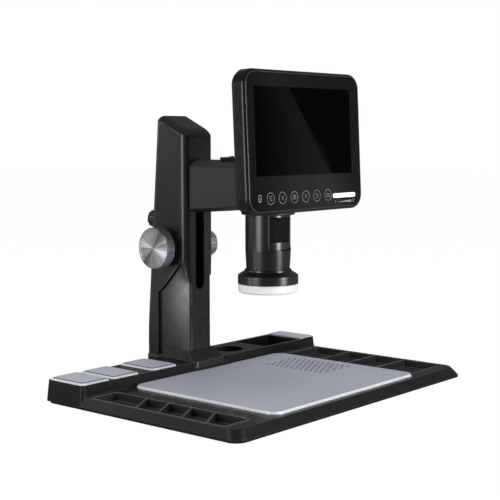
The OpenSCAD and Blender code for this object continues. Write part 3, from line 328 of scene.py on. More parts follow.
def groove_shade_share(tree, place, low, high):
    """1 on level faces between two heights: the floors of narrow grooves, which get a painted shade."""
    in_range = math_node(tree, "COMPARE", split(tree, place)["Z"], (low + high) / 2, (high - low) / 2)
    faces_up = math_node(tree, "GREATER_THAN", split(tree, true_normal(tree))["Z"], 0.9)
    return math_node(tree, "MULTIPLY", in_range, faces_up)


# ---- materials ----


def moulded_plastic(name, colour, rough, grain, depth, edge=0.5 * MM, edge_highlight="#4C4C4E", gloss=0.3, sunk=None):
    """Injection-moulded ABS from a spark-eroded mould: grain breaks up the highlight, the edges carry a painted
    highlight, and groove floors, where given, a painted shade.
    """
    made, tree, shader = new_material(name, IOR=1.53, Specular_IOR_Level=gloss)
    place = surface_place(tree)
    base = linear(colour)
    rounded = soft_edges(tree, edge)
    cloud = mottle(tree, place, base, 30 * MM, 0.9, 1.1)
    if sunk:
        # painted shade: the groove floors are drawn at a tenth of the colour
        cloud = tint(tree, groove_shade_share(tree, place, *sunk), cloud, shade(base, 0.1))
    wire(
        tree, shader,
        # painted highlight: the colour lightens towards a paler grey along every edge
        Base_Color=tint(tree, edge_share(tree, rounded), cloud, linear(edge_highlight)),
        Roughness=vary(tree, place, 9 * MM, rough - 0.04, rough + 0.04),
        Normal=bump(tree, noise(tree, place, grain, 4.0), 0.35, depth, rounded),
    )
    return made


def silver_paint(name, colour, rough, box, rim, cut):
    """Metallic lacquer over metal or plastic: fine flakes, and a painted highlight on the chamfer at the rim."""
    made, tree, shader = new_material(name, Metallic=0.35, Coat_Weight=0.15, Coat_Roughness=0.25)
    place = surface_place(tree)
    base = linear(colour)
    flakes = add_node(tree, "ShaderNodeTexVoronoi", {"Vector": place, "Scale": 1 / (0.9 * MM)})
    paint = tint(tree, flakes.outputs["Color"], shade(base, 0.94), shade(base, 1.05))
    # the chamfer and the sides are told from the flat top by how far they turn from level, and from the
    # holes by how close they lie to the outline
    low, high = box
    middle, reach = (low + high) / 2, (high - low) / 2
    away = split(tree, vector_node(tree, "ABSOLUTE", vector_node(tree, "ADD", place, tuple(-middle))))
    outer = math_node(
        tree, "MAXIMUM",
        *(math_node(tree, "GREATER_THAN", away[axis], reach[k] - rim) for k, axis in enumerate("XY")),
    )
    turned = remap(tree, split(tree, true_normal(tree))["Z"], 0.95, 0.85)
    rim_highlight_share = math_node(tree, "MULTIPLY", turned, outer)
    # painted shade: the walls of the vent holes are drawn nearly black
    shown = tint(tree, turned, paint, shade(base, 0.12))
    wire(
        tree, shader,
        # painted highlight: the chamfer and the sides near the outline take a pale colour
        Base_Color=tint(tree, rim_highlight_share, shown, linear(cut)),
        Roughness=vary(tree, place, 14 * MM, rough - 0.03, rough + 0.03),
        Normal=bump(tree, noise(tree, place, 1.6 * MM, 2.0), 0.15, 0.02 * MM, soft_edges(tree, 0.4 * MM)),
    )
    return made


def powder_coat(name, colour, rough):
    """Baked powder on die-cast metal: a slight orange peel and a soft, broad highlight."""
    made, tree, shader = new_material(name, IOR=1.5, Specular_IOR_Level=0.3)
    place = surface_place(tree)
    wire(
        tree, shader,
        Base_Color=mottle(tree, place, linear(colour), 25 * MM, 0.92, 1.08),
        Roughness=vary(tree, place, 6 * MM, rough - 0.04, rough + 0.04),
        Normal=bump(tree, noise(tree, place, 2.0 * MM, 3.0), 0.25, 0.05 * MM, soft_edges(tree, 1.6 * MM)),
    )
    return made


def anodised(name, colour, rough):
    """Dyed anodising on turned aluminium: a smooth hard skin with a clean, narrow highlight."""
    made, tree, shader = new_material(name, IOR=1.6)
    place = surface_place(tree)
    # turning marks run round the barrel; drawn 1.2 mm apart because the real ones are too fine to show
    marks = noise_along(tree, split(tree, place)["Z"], 1.2 * MM, 2.0)
    wire(
        tree, shader,
        Base_Color=mottle(tree, place, linear(colour), 20 * MM, 0.94, 1.06),
        Roughness=spread(tree, marks, rough - 0.003, rough + 0.003),
        Normal=soft_edges(tree, 0.6 * MM),
    )
    return made


def turned_aluminium(name, colour, centre):
    """Aluminium faced on a lathe and anodised clear: rings round the axis pull the highlight into a fan, and a
    painted fan of highlight and shade lies in the face's colour.
    """
    made, tree, shader = new_material(name, Metallic=1.0, Roughness=0.28, Anisotropic=0.92)
    base = linear(colour)
    moved = vector_node(tree, "ADD", surface_place(tree), (0.0, -centre.y, -centre.z))
    flat = vector_node(tree, "MULTIPLY", moved, (0.0, 1.0, 1.0))
    # lathe marks, drawn 0.7 mm apart because the real ones are too fine to show
    rings = noise_along(tree, vector_node(tree, "LENGTH", flat), 0.7 * MM, 3.0)
    parts = split(tree, moved)
    angle = math_node(tree, "ARCTAN2", parts["Z"], parts["Y"])
    # rays from the centre, about 0.2 radians wide, part the cutter's chatter and part painted reflection
    painted_fan = spread(tree, noise_along(tree, angle, 0.2, 5.0, 0.65), -0.25, 0.25)
    # and painted highlight and shade lie on the face in sectors, bright and dark in turn: how many, from which
    # angle, how strong
    for count, start, weight in ((2, 35.0, 0.28), (8, 59.0, 0.16)):
        wave = math_node(tree, "MULTIPLY_ADD", angle, float(count), -count * math.radians(start))
        painted_fan = math_node(tree, "MULTIPLY_ADD", math_node(tree, "COSINE", wave), weight, painted_fan)
    painted_fan = math_node(tree, "ADD", painted_fan, 0.5, use_clamp=True)
    cut = tint(tree, rings, shade(base, 0.85), shade(base, 1.05))
    # the face's colour carries the painted fan, down to 0.3 of the metal's colour in its dark sectors
    face = tint(tree, painted_fan, shade(base, 0.3), cut)
    # the knurl crosses two spirals round the rim, drawn 1.9 mm apart because the real one is too fine to show
    starts, pitch = 34.0, 3.8 * MM
    crossed = []
    for lean in (1.0, -1.0):
        turn = math_node(tree, "MULTIPLY", parts["X"], lean * 2 * math.pi / pitch)
        crossed.append(math_node(tree, "SINE", math_node(tree, "MULTIPLY_ADD", angle, starts, turn)))
    knurl = math_node(tree, "MULTIPLY", *crossed)
    axial = math_node(tree, "ABSOLUTE", split(tree, true_normal(tree))["X"])
    around_rim = remap(tree, axial, 0.1, 0.3, 1.0, 0.0)
    # painted shade: the knurl's grooves are drawn darker on the rim
    rim = tint(tree, remap(tree, knurl, -0.7, 0.5), shade(base, 0.6), base)
    turned = bump(tree, rings, 0.4, 0.03 * MM, soft_edges(tree, 0.25 * MM))
    # light spreads across the rings on the face, and along the axis on the rim
    outward = vector_node(tree, "NORMALIZE", flat)
    wire(
        tree, shader,
        Base_Color=tint(tree, around_rim, face, rim),
        Normal=bump(tree, math_node(tree, "MULTIPLY", knurl, around_rim), 0.45, 0.15 * MM, turned),
        Tangent=vector_node(tree, "NORMALIZE", vector_node(tree, "ADD", outward, (0.5, 0.0, 0.0))),
    )
    return made


def plain_metal(name, colour, rough, streak=(1.0, 1.0, 1.0)):
    """Plated or ground metal with fine marks along one axis, which stretch the reflection."""
    made, tree, shader = new_material(name, Metallic=1.0, Roughness=rough)
    base = linear(colour)
    stretched = vector_node(tree, "MULTIPLY", surface_place(tree), streak)
    marks = noise(tree, stretched, 1.2 * MM, 3.0)
    wire(
        tree, shader,
        Base_Color=tint(tree, marks, shade(base, 0.85), shade(base, 1.05)),
        Normal=bump(tree, marks, 0.2, 0.02 * MM, soft_edges(tree, 0.2 * MM)),
    )
    return made


def rubber(name, colour):
    """Soft moulded rubber: dull, with a dusty bloom on its high spots."""
    made, tree, shader = new_material(name, IOR=1.52, Specular_IOR_Level=0.12)
    place = surface_place(tree)
    wire(
        tree, shader,
        Base_Color=mottle(tree, place, linear(colour), 3 * MM, 0.8, 1.5),
        Roughness=vary(tree, place, 2 * MM, 0.75, 0.9),
    )
    return made


def milky_acrylic(name, colour):
    """Opal acrylic sheet: light spreads inside it, so it glows evenly and its edges stay soft."""
    made, tree, shader = new_material(
        name, IOR=1.49, Roughness=0.35, Subsurface_Weight=0.12, Subsurface_Scale=3 * MM
    )
    wire(
        tree, shader,
        Base_Color=mottle(tree, surface_place(tree), linear(colour), 8 * MM, 0.97, 1.0),
        Normal=soft_edges(tree, 0.8 * MM),
    )
    return made


def circuit_board(name, mask):
    """Glass-fibre board under solder mask, with paler copper tracks showing through as a fine grid."""
    made, tree, shader = new_material(name, IOR=1.5, Roughness=0.35)
    base = linear(mask)
    tracks = add_node(
        tree, "ShaderNodeTexBrick",
        {"Vector": surface_place(tree), "Scale": 1 / (12 * MM), "Color1": base, "Color2": shade(base, 0.7),
         "Mortar": shade(base, 1.8), "Mortar Size": 0.03},
    )
    wire(tree, shader, Base_Color=tracks.outputs["Color"])
    return made


def clear_glass(name):
    """Coated optical glass: nearly clear, with a faint blue-green bloom from the coating."""
    made, tree, shader = new_material(name, IOR=1.52, Roughness=0.02, Transmission_Weight=0.95)
    edge = add_node(tree, "ShaderNodeLayerWeight", {"Blend": 0.3}).outputs["Facing"]
    wire(tree, shader, Base_Color=tint(tree, edge, linear("#F2F8F6"), linear("#B9D3E2")))
    return made


def cover_glass(name, colour, rough=0.12, level=0.22):
    """Toughened glass printed black on the back: deep and even, with a sharp surface reflection."""
    made, tree, shader = new_material(name, IOR=1.5, Specular_IOR_Level=level)
    place = surface_place(tree)
    wire(
        tree, shader,
        Base_Color=mottle(tree, place, linear(colour), 60 * MM, 0.96, 1.04),
        # fingertip haze so faint that it only softens the reflection here and there
        Roughness=vary(tree, place, 22 * MM, rough - 0.02, rough + 0.03),
    )
    return made


def white_ink(name, colour):
    """Screen-printed ink seen through the glass: flat, slightly uneven white."""
    made, tree, shader = new_material(name, Roughness=0.5, IOR=1.5)
    wire(tree, shader, Base_Color=mottle(tree, surface_place(tree), linear(colour), 1.5 * MM, 0.88, 1.0))
    return made


def dress(material, *names):
    """Puts a material in every slot of the named nodes."""
    for name in names:
        slots = nodes[name].material_slots
        for one in slots:
            one.material = material
        if not slots:
            nodes[name].data.materials.append(material)


# ---- mesh helpers ----


def new_object(name, mesh, material):
    """Turns a bmesh into an object of the scene."""
    data = bpy.data.meshes.new(name)
    mesh.normal_update()
    mesh.to_mesh(data)
    mesh.free()
    data.materials.append(material)
    made = bpy.data.objects.new(name, data)
    bpy.context.scene.collection.objects.link(made)
    return made


def mesh_piece(name, mesh, material, body):
    """Turns a bmesh into a piece that rides on a body."""
    made = new_object(name, mesh, material)
    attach(made, body)
    return made


def roof_heights(mesh, depths):
    """The height of the CAD roof along the column's middle, at each of the given depths."""
    tree = BVHTree.FromBMesh(mesh)
    found = []
    for y in depths:
        # straight down from well above the part
        hit = tree.ray_cast(Vector((0.0, y, 1.0)), Vector((0.0, 0.0, -1.0)))[0]
        found.append(hit.z)
    return found


def between(points, x):
    """The value at x on a line through (x, value) points in order."""
    for (x0, v0), (x1, v1) in zip(points, points[1:]):
        if x <= x1:
            return v0 + (v1 - v0) * max(0.0, (x - x0) / (x1 - x0))
    return points[-1][1]


def cut_across(mesh, axis, places):
    """Cuts a mesh by planes across an axis, so that it can bend there."""
    normal = Vector([float(k == axis) for k in range(3)])
    for place in places:
        bmesh.ops.bisect_plane(
            mesh, geom=mesh.verts[:] + mesh.edges[:] + mesh.faces[:], dist=1e-6, plane_co=normal * place,
            plane_no=normal,
        )


def ease(value, none, full):
    """0 up to one value and 1 from the other on, with a smooth rise between them."""
    share = min(max((value - none) / (full - none), 0.0), 1.0)
    return share * share * (3 - 2 * share)


def roll_corners(mesh):
    """Rolls the lower front corners of the column inwards, so that the recessed sides run into the front."""
    # the cuts lie closer where the wall bends more
    cut_across(mesh, 2, [z * MM for z in (60, 85, 96, 100, *range(104, 135, 3))])
    cut_across(mesh, 1, [y * MM for y in (93, 96, 99, 102, *range(106, 127, 4))])
    # from the middle plane: the recessed side, and the wall's inner face, which stays
    side, inner_face = 19 * MM, 15.5 * MM
    # how far back the full width of the front reaches, and the heights between which it narrows
    front_end, narrowing = 98.6 * MM, (109 * MM, 135 * MM)
    # where the roll starts, how far in front of that it reaches its depth, and the heights where it ends
    roll_start, roll_run, roll_depth, roll_end = 131 * MM, 42 * MM, 3.2 * MM, (104 * MM, 126 * MM)
    for vert in mesh.verts:
        x, y, z = vert.co
        if side + 0.05 * MM < abs(x) and y < front_end:
            # the full width above runs down into the recess in an S
            vert.co.x = math.copysign(side + (abs(x) - side) * ease(z, *narrowing), x)
        elif inner_face < abs(x) and y < roll_start + 0.2 * MM and z < roll_end[1]:
            roll = roll_depth * ((roll_start - y) / roll_run) ** 3 * (1 - ease(z, *roll_end))
            vert.co.x -= math.copysign(roll, x)


def crowned_copy(name, node, lifts, material):
    """A copy of a CAD part of the column whose top is drawn into the soft crown of the roof."""
    mesh = bmesh.new()
    mesh.from_mesh(nodes[node].data)
    cut_across(mesh, 1, [y for y, _ in lifts])
    for vert in mesh.verts:
        vert.co.z += between(lifts, vert.co.y) * ease(vert.co.z, *CROWN_RISE)
    if node == "column_body":
        roll_corners(mesh)
    # slivers that the cuts leave would catch the light as specks
    bmesh.ops.remove_doubles(mesh, verts=mesh.verts[:], dist=0.05 * MM)
    made = mesh_piece(name, mesh, material, "base")
    # the stored normals belong to the uncut faces
    made.data.attributes.remove(made.data.attributes["custom_normal"])
    made.data.shade_smooth()
    made.data.set_sharp_from_angle(angle=math.radians(24))
    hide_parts(node)
    return made


def glass_frame():
    """A matrix from the glass's own frame, X right, Y inward, Z up from the middle of its front, and the size."""
    data = nodes["display_glass"].data
    front = max((p for p in data.polygons if p.normal.y < -0.5), key=lambda p: p.area)
    across = Vector((1, 0, 0))
    inward = -front.normal.normalized()
    up = across.cross(inward).normalized()
    depth = min(v.co.dot(inward) for v in data.vertices)
    xs = [v.co.x for v in data.vertices]
    ups = [v.co.dot(up) for v in data.vertices]
    centre = across * (min(xs) + max(xs)) / 2 + up * (min(ups) + max(ups)) / 2 + inward * depth
    size = (max(xs) - min(xs), max(ups) - min(ups))
    turn = Matrix((across, inward, up)).transposed().to_4x4()
    return Matrix.Translation(centre) @ turn, size


def rounded_outline(width, height, radius, steps, centre=(0.0, 0.0)):
    """Points round a rectangle with round corners, in order."""
    points = []
    for k, (sx, sz) in enumerate(((1, 1), (-1, 1), (-1, -1), (1, -1))):
        cx = centre[0] + sx * (width / 2 - radius)
        cz = centre[1] + sz * (height / 2 - radius)
        for j in range(steps + 1):
            angle = math.radians(90 * k + 90 * j / steps)
            points.append((cx + radius * math.cos(angle), cz + radius * math.sin(angle)))
    return points


def band(mesh, outer, inner, thick=PRINT_THICK):
    """A closed band between two outlines of the same count, in front of the glass."""
    front = -PRINT_GAP - thick
    front_out, front_in, back_out, back_in = (
        [mesh.verts.new((x, y, z)) for x, z in outline]
        for y in (front, -PRINT_GAP)
        for outline in (outer, inner)
    )
    for k in range(len(outer)):
        n = (k + 1) % len(outer)
        mesh.faces.new((front_out[k], front_out[n], front_in[n], front_in[k]))
        mesh.faces.new((back_out[n], back_out[k], back_in[k], back_in[n]))
        mesh.faces.new((front_out[n], front_out[k], back_out[k], back_out[n]))
        mesh.faces.new((front_in[k], front_in[n], back_in[n], back_in[k]))


def ring(mesh, width, height, radius, line, steps, centre=(0.0, 0.0), thick=PRINT_THICK):
    """A closed band of even width inside a rounded outline."""
    outer = rounded_outline(width, height, radius, steps, centre)
    inner = rounded_outline(width - 2 * line, height - 2 * line, radius - line, steps, centre)
    band(mesh, outer, inner, thick)


def patch(mesh, outline):
    """A closed flat patch inside one outline, in front of the glass."""
    front = [mesh.verts.new((x, -PRINT_GAP - PRINT_THICK, z)) for x, z in outline]
    back = [mesh.verts.new((x, -PRINT_GAP, z)) for x, z in outline]
    mesh.faces.new(front)
    mesh.faces.new(back[::-1])
    for k in range(len(outline)):
        n = (k + 1) % len(outline)
        mesh.faces.new((front[n], front[k], back[k], back[n]))


def stroke(mesh, points):
    """A printed line of even width through the points, with each stretch a small closed patch."""
    for (x0, z0), (x1, z1) in zip(points, points[1:]):
        run = math.hypot(x1 - x0, z1 - z0)
        ex, ez = ((b - a) / run * PRINT_LINE / 2 for a, b in ((x0, x1), (z0, z1)))
        patch(mesh, [(x0 - ex - ez, z0 - ez + ex), (x0 - ex + ez, z0 - ez - ex),
                     (x1 + ex + ez, z1 + ez - ex), (x1 + ex - ez, z1 + ez + ex)])


def on_glass(name, mesh, turn, material):
    """Sets a layer that was drawn in the glass's own frame in its place, as a piece of the display."""
    mesh.transform(turn)
    mesh_piece(name, mesh, material, "display")


# ---- studio ----


def mix_shaders(tree, factor, first, second):
    """The first shader at a factor of 0 and the second at 1."""
    return add_node(tree, "ShaderNodeMixShader", {0: factor, 1: first, 2: second}).outputs["Shader"]


def emission(tree, strength):
    """Plain white light from a surface."""
    return add_node(tree, "ShaderNodeEmission", {"Color": WHITE, "Strength": strength}).outputs["Emission"]


def place_camera(scene, s):
    """Stands the camera at its place, turned by its heading, pitch and roll."""
    camera = bpy.data.objects.new("camera", bpy.data.cameras.new("camera"))
    scene.collection.objects.link(camera)
    heading, pitch, roll = s.camera_turn
    level = math.cos(pitch)
    ahead = Vector((math.sin(heading) * level, math.cos(heading) * level, -math.sin(pitch)))
    right = Vector((math.cos(heading), -math.sin(heading), 0))
    up = right.cross(ahead)
    right, up = (
        math.cos(roll) * right + math.sin(roll) * up,
        -math.sin(roll) * right + math.cos(roll) * up,
    )
    turn = Matrix((right, up, -ahead)).transposed().to_4x4()
    camera.matrix_world = Matrix.Translation(s.camera_place) @ turn
    camera.data.lens = s.lens
    camera.data.sensor_width = 36
    camera.data.clip_start = 0.05
    camera.data.clip_end = 50
    scene.camera = camera


def lay_floor():
    """Lays a sweep of pale paper, which the camera sees as white apart from the shadow on it."""
    paper = bpy.data.materials.new("white paper sweep")
    tree = empty_tree(paper)
    rays = add_node(tree, "ShaderNodeLightPath").outputs
    diffuse = add_node(tree, "ShaderNodeBsdfDiffuse", {"Color": linear("#F6F6F6")}).outputs["BSDF"]
    seen = math_node(tree, "MULTIPLY", rays["Is Camera Ray"], PAPER_WHITE)
    look = mix_shaders(tree, seen, diffuse, emission(tree, 1.0))
    # reflections see the paper as dim as the room, so that black plastic stays black
    mirrored = math_node(tree, "MULTIPLY", rays["Is Glossy Ray"], PAPER_DIM)
    look = mix_shaders(tree, mirrored, look, emission(tree, ROOM_GLOW))
    add_node(tree, "ShaderNodeOutputMaterial", {"Surface": look})
    mesh = bmesh.new()
    bmesh.ops.create_grid(mesh, x_segments=1, y_segments=1, size=FLOOR_REACH)
    new_object("floor", mesh, paper)


def hang_card():
    """Hangs the slanted card that only reflections see."""
    glow = bpy.data.materials.new("lit card")
    tree = empty_tree(glow)
    level = remap(tree, split(tree, surface_place(tree))["X"], *CARD_FADE)
    add_node(tree, "ShaderNodeOutputMaterial", {"Surface": emission(tree, level)})
    mesh = bmesh.new()
    mesh.faces.new([mesh.verts.new(corner) for corner in CARD_CORNERS])
    card = new_object("reflector_card", mesh, glow)
    card.visible_camera = card.visible_diffuse = card.visible_shadow = card.visible_transmission = False


def light_room(scene):
    """Fills the room with faint even light, in front of a backdrop that the camera sees as white."""
    world = bpy.data.worlds.new("studio")
    scene.world = world
    tree = empty_tree(world)
    rays = add_node(tree, "ShaderNodeLightPath").outputs
    lit, mirrored, backdrop = (
        add_node(tree, "ShaderNodeBackground", {"Color": WHITE, "Strength": strength}).outputs["Background"]
        for strength in (ROOM_LIGHT, ROOM_GLOW, 1.0)
    )
    bounced = math_node(tree, "MAXIMUM", rays["Is Glossy Ray"], rays["Is Transmission Ray"])
    look = mix_shaders(tree, bounced, lit, mirrored)
    look = mix_shaders(tree, rays["Is Camera Ray"], look, backdrop)
    add_node(tree, "ShaderNodeOutputWorld", {"Surface": look})


def area_lamp(scene, name, place, aim, size, power):
    """Hangs a rectangular lamp and turns it to its aim."""
    lamp = bpy.data.lights.new(name, "AREA")
    lamp.shape = "RECTANGLE"
    lamp.size, lamp.size_y = size
    lamp.energy = power
    made = bpy.data.objects.new(name, lamp)
    turn = (Vector(aim) - Vector(place)).to_track_quat("-Z", "Y").to_matrix().to_4x4()
    made.matrix_world = Matrix.Translation(place) @ turn
    made.visible_camera = False
    made.visible_glossy = name not in FILL_LAMPS
    if name == "strip_low":
        # a narrow beam into the column's recess that leaves the base alone
        lamp.spread = math.radians(36)
        made.visible_diffuse = False
    scene.collection.objects.link(made)


# ---- pieces ----


class MICROSCOPE_OT_base(bpy.types.Operator):
    """Finishes the moulded base with its trays, feet and screws"""

    bl_idname = "microscope.base"
    bl_label = "Base and trays"

    def execute(self, context):
        s = settings("base")
        # the floors of the grooves in the deck lie between these heights, and are drawn nearly black as painted
        # shade
        grooves = (TRAY_HEIGHT - 1.6 * MM, TRAY_HEIGHT - 0.3 * MM)
        # each moulded part takes a painted highlight along its edges, in the paler grey given with it
        shell = moulded_plastic(
            "moulded ABS, base", s.shell_colour, 0.32, s.grain, 0.05 * MM,
            edge=0.6 * MM, edge_highlight="#7A7A7C", gloss=0.2, sunk=grooves,
        )
        # painted light: the trays are drawn a lighter grey than the base shell, for the light on their floors
        trays = moulded_plastic(
            "moulded ABS, trays", "#1F1F21", 0.5, s.grain, 0.05 * MM,
            edge=0.8 * MM, edge_highlight="#8A8A8C",
        )
        foot = moulded_plastic(
            "moulded ABS, foot", "#0F0F10", 0.3, s.grain, 0.02 * MM,
            edge=1.4 * MM, edge_highlight="#5A5A5C", gloss=0.6,
        )
        dress(shell, "base_shell")
        dress(trays, "left_parts_tray", "right_parts_tray")
        dress(foot, "column_foot")
        dress(plain_metal("black zinc sheet", "#2A2A2A", 0.45), "bottom_cover")
        dress(rubber("moulded rubber", "#141414"), "rubber_feet")
        dress(plain_metal("zinc-plated steel screws", "#B4B6BA", 0.35), "base_screws", "column_bolts")
        return {"FINISHED"}


class MICROSCOPE_OT_plates(bpy.types.Operator):
    """Finishes the silver stage plate, the storage lids and the end cover"""

    bl_idname = "microscope.plates"
    bl_label = "Plate and lids"

    def execute(self, context):
        s = settings("base")
        # the plate and the lids take a pale painted highlight on the chamfer round their outline
        plate = silver_paint(
            "silver lacquer, plate", s.plate_colour, 0.42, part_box("stage_plate"), rim=6 * MM, cut="#E2E4E8"
        )
        dress(plate, "stage_plate")
        for name in ("storage_lid_1", "storage_lid_2", "storage_lid_3", "end_cover_plate"):
            words = "silver lacquer, " + name.replace("_", " ")
            dress(silver_paint(words, s.lid_colour, 0.36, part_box(name), rim=2.2 * MM, cut="#C2C4CA"), name)
        return {"FINISHED"}


class MICROSCOPE_OT_column(bpy.types.Operator):
    """Finishes the column, its covers and the drive inside it"""

    bl_idname = "microscope.column"
    bl_label = "Column and drive"

    def execute(self, context):
        s = settings("column")
        grain = settings("base").grain
        body = moulded_plastic(
            "moulded ABS, column", s.column_colour, 0.3, grain, 0.01 * MM,
            edge=0.4 * MM, edge_highlight="#18181A", gloss=0.5,
        )
        cover = moulded_plastic(
            "moulded ABS, side covers", s.cover_colour, 0.34, grain, 0.04 * MM, edge_highlight="#303032"
        )
        bosses = moulded_plastic(
            "moulded ABS, bosses", "#0C0C0D", 0.3, grain, 0.03 * MM, edge_highlight="#2A2A2C", gloss=0.6
        )
        plain = bmesh.new()
        plain.from_mesh(nodes["column_body"].data)
        heights = roof_heights(plain, [y for y, _ in ROOF_LINE])
        plain.free()
        lifts = [(y, z - now) for (y, z), now in zip(ROOF_LINE, heights)]
        crowned_copy("column_crowned", "column_body", lifts, body)
        for side in ("left", "right"):
            crowned_copy("side_cover_crowned_" + side, "side_cover_" + side, lifts, cover)
        dress(bosses, "shaft_bushes", "lock_knob")
        # grinding marks run along the upright rods and round the level shaft
        streak = (1.0, 1.0, 0.05)
        dress(plain_metal("black oxide steel", "#1A1A1C", 0.4, streak), "guide_rods")
        dress(plain_metal("ground steel", "#C9CBCE", 0.16, streak), "pinion_shaft")
        dress(plain_metal("milled steel", "#A7A9AD", 0.32), "rack", "lock_screw")
        dress(plain_metal("machined brass", "#D0A856", 0.28), "pinion", "lock_pad")
        dress(powder_coat("dark powder coat, carriage", "#262628", 0.5), "carriage")
        return {"FINISHED"}


class MICROSCOPE_OT_knobs(bpy.types.Operator):
    """Finishes the two turned and knurled focus knobs"""

    bl_idname = "microscope.knobs"
    bl_label = "Focus knobs"

    def execute(self, context):
        low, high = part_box("pinion_shaft")
        metal = turned_aluminium("turned aluminium", settings("column").knob_colour, (low + high) / 2)
        dress(metal, "knob_left", "knob_right")
        return {"FINISHED"}


class MICROSCOPE_OT_head(bpy.types.Operator):
    """Finishes the arm, the barrel, its focus wheel and the optics"""

    bl_idname = "microscope.head"
    bl_label = "Arm and barrel"

    def execute(self, context):
        s = settings("head")
        dress(powder_coat("dark powder coat, arm", s.arm_colour, 0.42), "arm_housing")
        dress(anodised("black anodised barrel", s.barrel_colour, 0.27),
              "barrel_housing", "barrel_cap", "inner_tube", "retainer_rings", "lamp_housing", "lens_carrier")
        dress(rubber("rubbered focus wheel", "#0A0A0B"), "focus_wheel")
        dress(plain_metal("black zinc sheet, bracket", "#222224", 0.4), "tilt_bracket", "hinge_leaf")
        dress(plain_metal("zinc-plated steel, head", "#B4B6BA", 0.33),
              "arm_screws", "bracket_screws", "tilt_pin")
        dress(circuit_board("green solder mask", "#1D5B34"), "sensor_board")
        dress(clear_glass("coated lens glass"), "lens_front", "lens_rear")
        return {"FINISHED"}


class MICROSCOPE_OT_lamp(bpy.types.Operator):
    """Finishes the lamp ring's board and its milky diffuser"""

    bl_idname = "microscope.lamp"
    bl_label = "Lamp ring"

    def execute(self, context):
        dress(milky_acrylic("opal acrylic", settings("head").diffuser_colour), "lamp_diffuser")
        dress(circuit_board("white solder mask", "#E4E4DE"), "lamp_board")
        return {"FINISHED"}


class MICROSCOPE_OT_display(bpy.types.Operator):
    """Finishes the display housing, its glass, its boards and its screws"""

    bl_idname = "microscope.display"
    bl_label = "Display housing"

    def execute(self, context):
        s = settings("display")
        polished = moulded_plastic(
            "polished ABS, display frame", s.housing_colour, 0.2, 2.0 * MM, 0.01 * MM,
            edge=1.0 * MM, edge_highlight="#262628", gloss=0.4,
        )
        dress(polished, "display_frame")
        dress(moulded_plastic("moulded ABS, rear shell", s.housing_colour, 0.42, 1.4 * MM, 0.05 * MM),
              "display_rear_shell")
        dress(cover_glass("printed cover glass", s.glass_colour), "display_glass")
        dress(plain_metal("folded steel, screen back", "#8C8E92", 0.4), "lcd_panel")
        dress(circuit_board("green solder mask, display", "#1D5B34"), "display_board", "touch_board")
        dress(plain_metal("zinc-plated steel, display", "#3A3A3C", 0.38), "display_screws")
        return {"FINISHED"}


class MICROSCOPE_OT_screen(bpy.types.Operator):
    """Adds the dark picture area and the polished rim of the glass"""

    bl_idname = "microscope.screen"
    bl_label = "Screen"

    def execute(self, context):
        s = settings("display")
        turn, (glass_w, glass_h) = glass_frame()
        picture = bmesh.new()
        patch(picture, rounded_outline(s.screen_width, s.screen_height, 0.6 * MM, 3, PICTURE_CENTRE))
        unlit = cover_glass("unlit screen", "#000000", rough=0.03, level=0.06)
        on_glass("picture_area", picture, turn, unlit)
        rim = bmesh.new()
        # how far the rim reaches past the glass, its corner radius and its width
        over, corner, line = 0.1 * MM, 13 * MM, 0.4 * MM
        ring(rim, glass_w + over, glass_h + over, corner, line, 12, thick=0.05 * MM)
        ground = cover_glass("ground glass edge", "#3C3D40", rough=0.2)
        on_glass("glass_rim", rim, turn, ground)
        return {"FINISHED"}


class MICROSCOPE_OT_touch_keys(bpy.types.Operator):
    """Adds the printed touch keys, the slider bar and the small marks under it"""

    bl_idname = "microscope.touch_keys"
    bl_label = "Touch keys"

    def execute(self, context):
        s = settings("display")
        turn, _ = glass_frame()
        keys = bmesh.new()
        size, unit = s.key_size, s.key_size / 10
        for k, sign in enumerate(KEY_SIGNS):
            cx, cz = FIRST_KEY + k * s.key_pitch, s.key_height
            ring(keys, size, size, size / 2, PRINT_LINE, 9, (cx, cz))
            for path in sign:
                stroke(keys, [(cx + px * unit, cz + pz * unit) for px, pz in path])
        # small capsule mark at the left end of the row
        cx, cz = -76.0 * MM, s.key_height + 0.6 * MM
        ring(keys, 4.2 * MM, 7.2 * MM, 2.0 * MM, 0.6 * MM, 6, (cx, cz))
        stroke(keys, [(cx - 0.8 * MM, cz), (cx + 0.8 * MM, cz)])
        on_glass("touch_keys", keys, turn, white_ink("white printing ink", "#84848A"))

        slider = bmesh.new()
        bar_z = s.key_height - 1.2 * MM
        patch(slider, rounded_outline(39 * MM, 4.6 * MM, 1.9 * MM, 8, (60 * MM, bar_z)))
        on_glass("slider_bar", slider, turn, white_ink("white printing ink, slider", "#F4F4F4"))

        # under the bar, a small and a larger drop mark with a wedge between them
        marks = bmesh.new()
        mark_z = bar_z - 6.4 * MM
        for cx, unit in ((44.6 * MM, 0.8 * MM), (76 * MM, 1.1 * MM)):
            centre = (cx, mark_z + 0.6 * MM)
            band(marks, rounded_outline(2.4 * unit, 2.6 * unit, 1.1 * unit, 6, centre),
                 rounded_outline(1.5 * unit, 1.7 * unit, 0.7 * unit, 6, centre))
            stroke(marks, [(cx - 0.5 * MM, mark_z - 1.3 * MM), (cx + 0.5 * MM, mark_z - 1.3 * MM)])
        left, right = 49 * MM, 72 * MM
        patch(marks, [(left, mark_z + 0.1 * MM), (right, mark_z + 1.1 * MM),
                      (right, mark_z - 0.9 * MM), (left, mark_z - 0.2 * MM)])
        on_glass("slider_marks", marks, turn, white_ink("grey printing ink", "#77777A"))
        return {"FINISHED"}


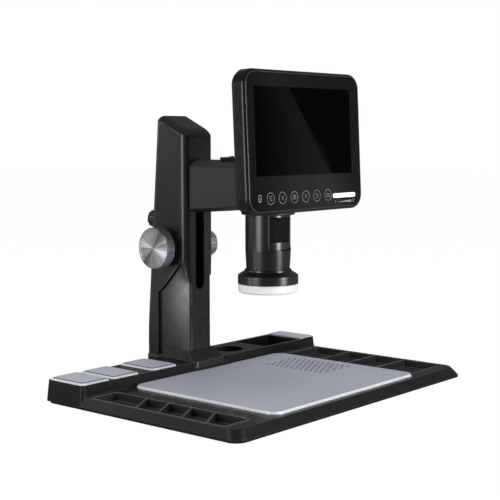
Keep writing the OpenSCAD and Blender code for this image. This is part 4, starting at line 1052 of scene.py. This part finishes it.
class MICROSCOPE_OT_stage(bpy.types.Operator):
    """Sets the camera, the pale floor and the soft studio light"""

    bl_idname = "microscope.stage"
    bl_label = "Studio stage"

    def execute(self, context):
        s = settings("stage")
        scene = context.scene
        scene.view_settings.view_transform = "Standard"
        place_camera(scene, s)
        lay_floor()
        hang_card()
        light_room(scene)
        for name, place, aim, size, power in LAMPS:
            area_lamp(scene, name, place, aim, size, power * s.lamp_power)
        return {"FINISHED"}


class MICROSCOPE_PT_panel(bpy.types.Panel):
    """Lists the microscope's pieces and their settings"""

    bl_idname = "MICROSCOPE_PT_panel"
    bl_label = "Microscope"
    bl_space_type = "VIEW_3D"
    bl_region_type = "UI"
    bl_category = "Microscope"

    def draw(self, context):
        layout = self.layout
        for name, group in GROUPS.items():
            box = layout.box()
            for key in group.__annotations__:
                box.prop(settings(name), key)
        for operator in OPERATORS:
            layout.operator(operator.bl_idname)


GROUPS = {
    "base": BaseSettings,
    "column": ColumnSettings,
    "head": HeadSettings,
    "display": DisplaySettings,
    "stage": StageSettings,
}
OPERATORS = (
    MICROSCOPE_OT_base,
    MICROSCOPE_OT_plates,
    MICROSCOPE_OT_column,
    MICROSCOPE_OT_knobs,
    MICROSCOPE_OT_head,
    MICROSCOPE_OT_lamp,
    MICROSCOPE_OT_display,
    MICROSCOPE_OT_screen,
    MICROSCOPE_OT_touch_keys,
    MICROSCOPE_OT_stage,
)


def register():
    for group in GROUPS.values():
        bpy.utils.register_class(group)
    for one in (*OPERATORS, MICROSCOPE_PT_panel):
        bpy.utils.register_class(one)
    for name, group in GROUPS.items():
        setattr(bpy.types.Scene, "microscope_" + name, bpy.props.PointerProperty(type=group))


def unregister():
    for name in GROUPS:
        delattr(bpy.types.Scene, "microscope_" + name)
    for one in (MICROSCOPE_PT_panel, *reversed(OPERATORS)):
        bpy.utils.unregister_class(one)
    for group in reversed(GROUPS.values()):
        bpy.utils.unregister_class(group)


def main():
    register()
    for operator in OPERATORS:
        family, _, short = operator.bl_idname.partition(".")
        getattr(getattr(bpy.ops, family), short)()
    bpy.context.view_layer.update()


if __name__ == "__main__":
    main()
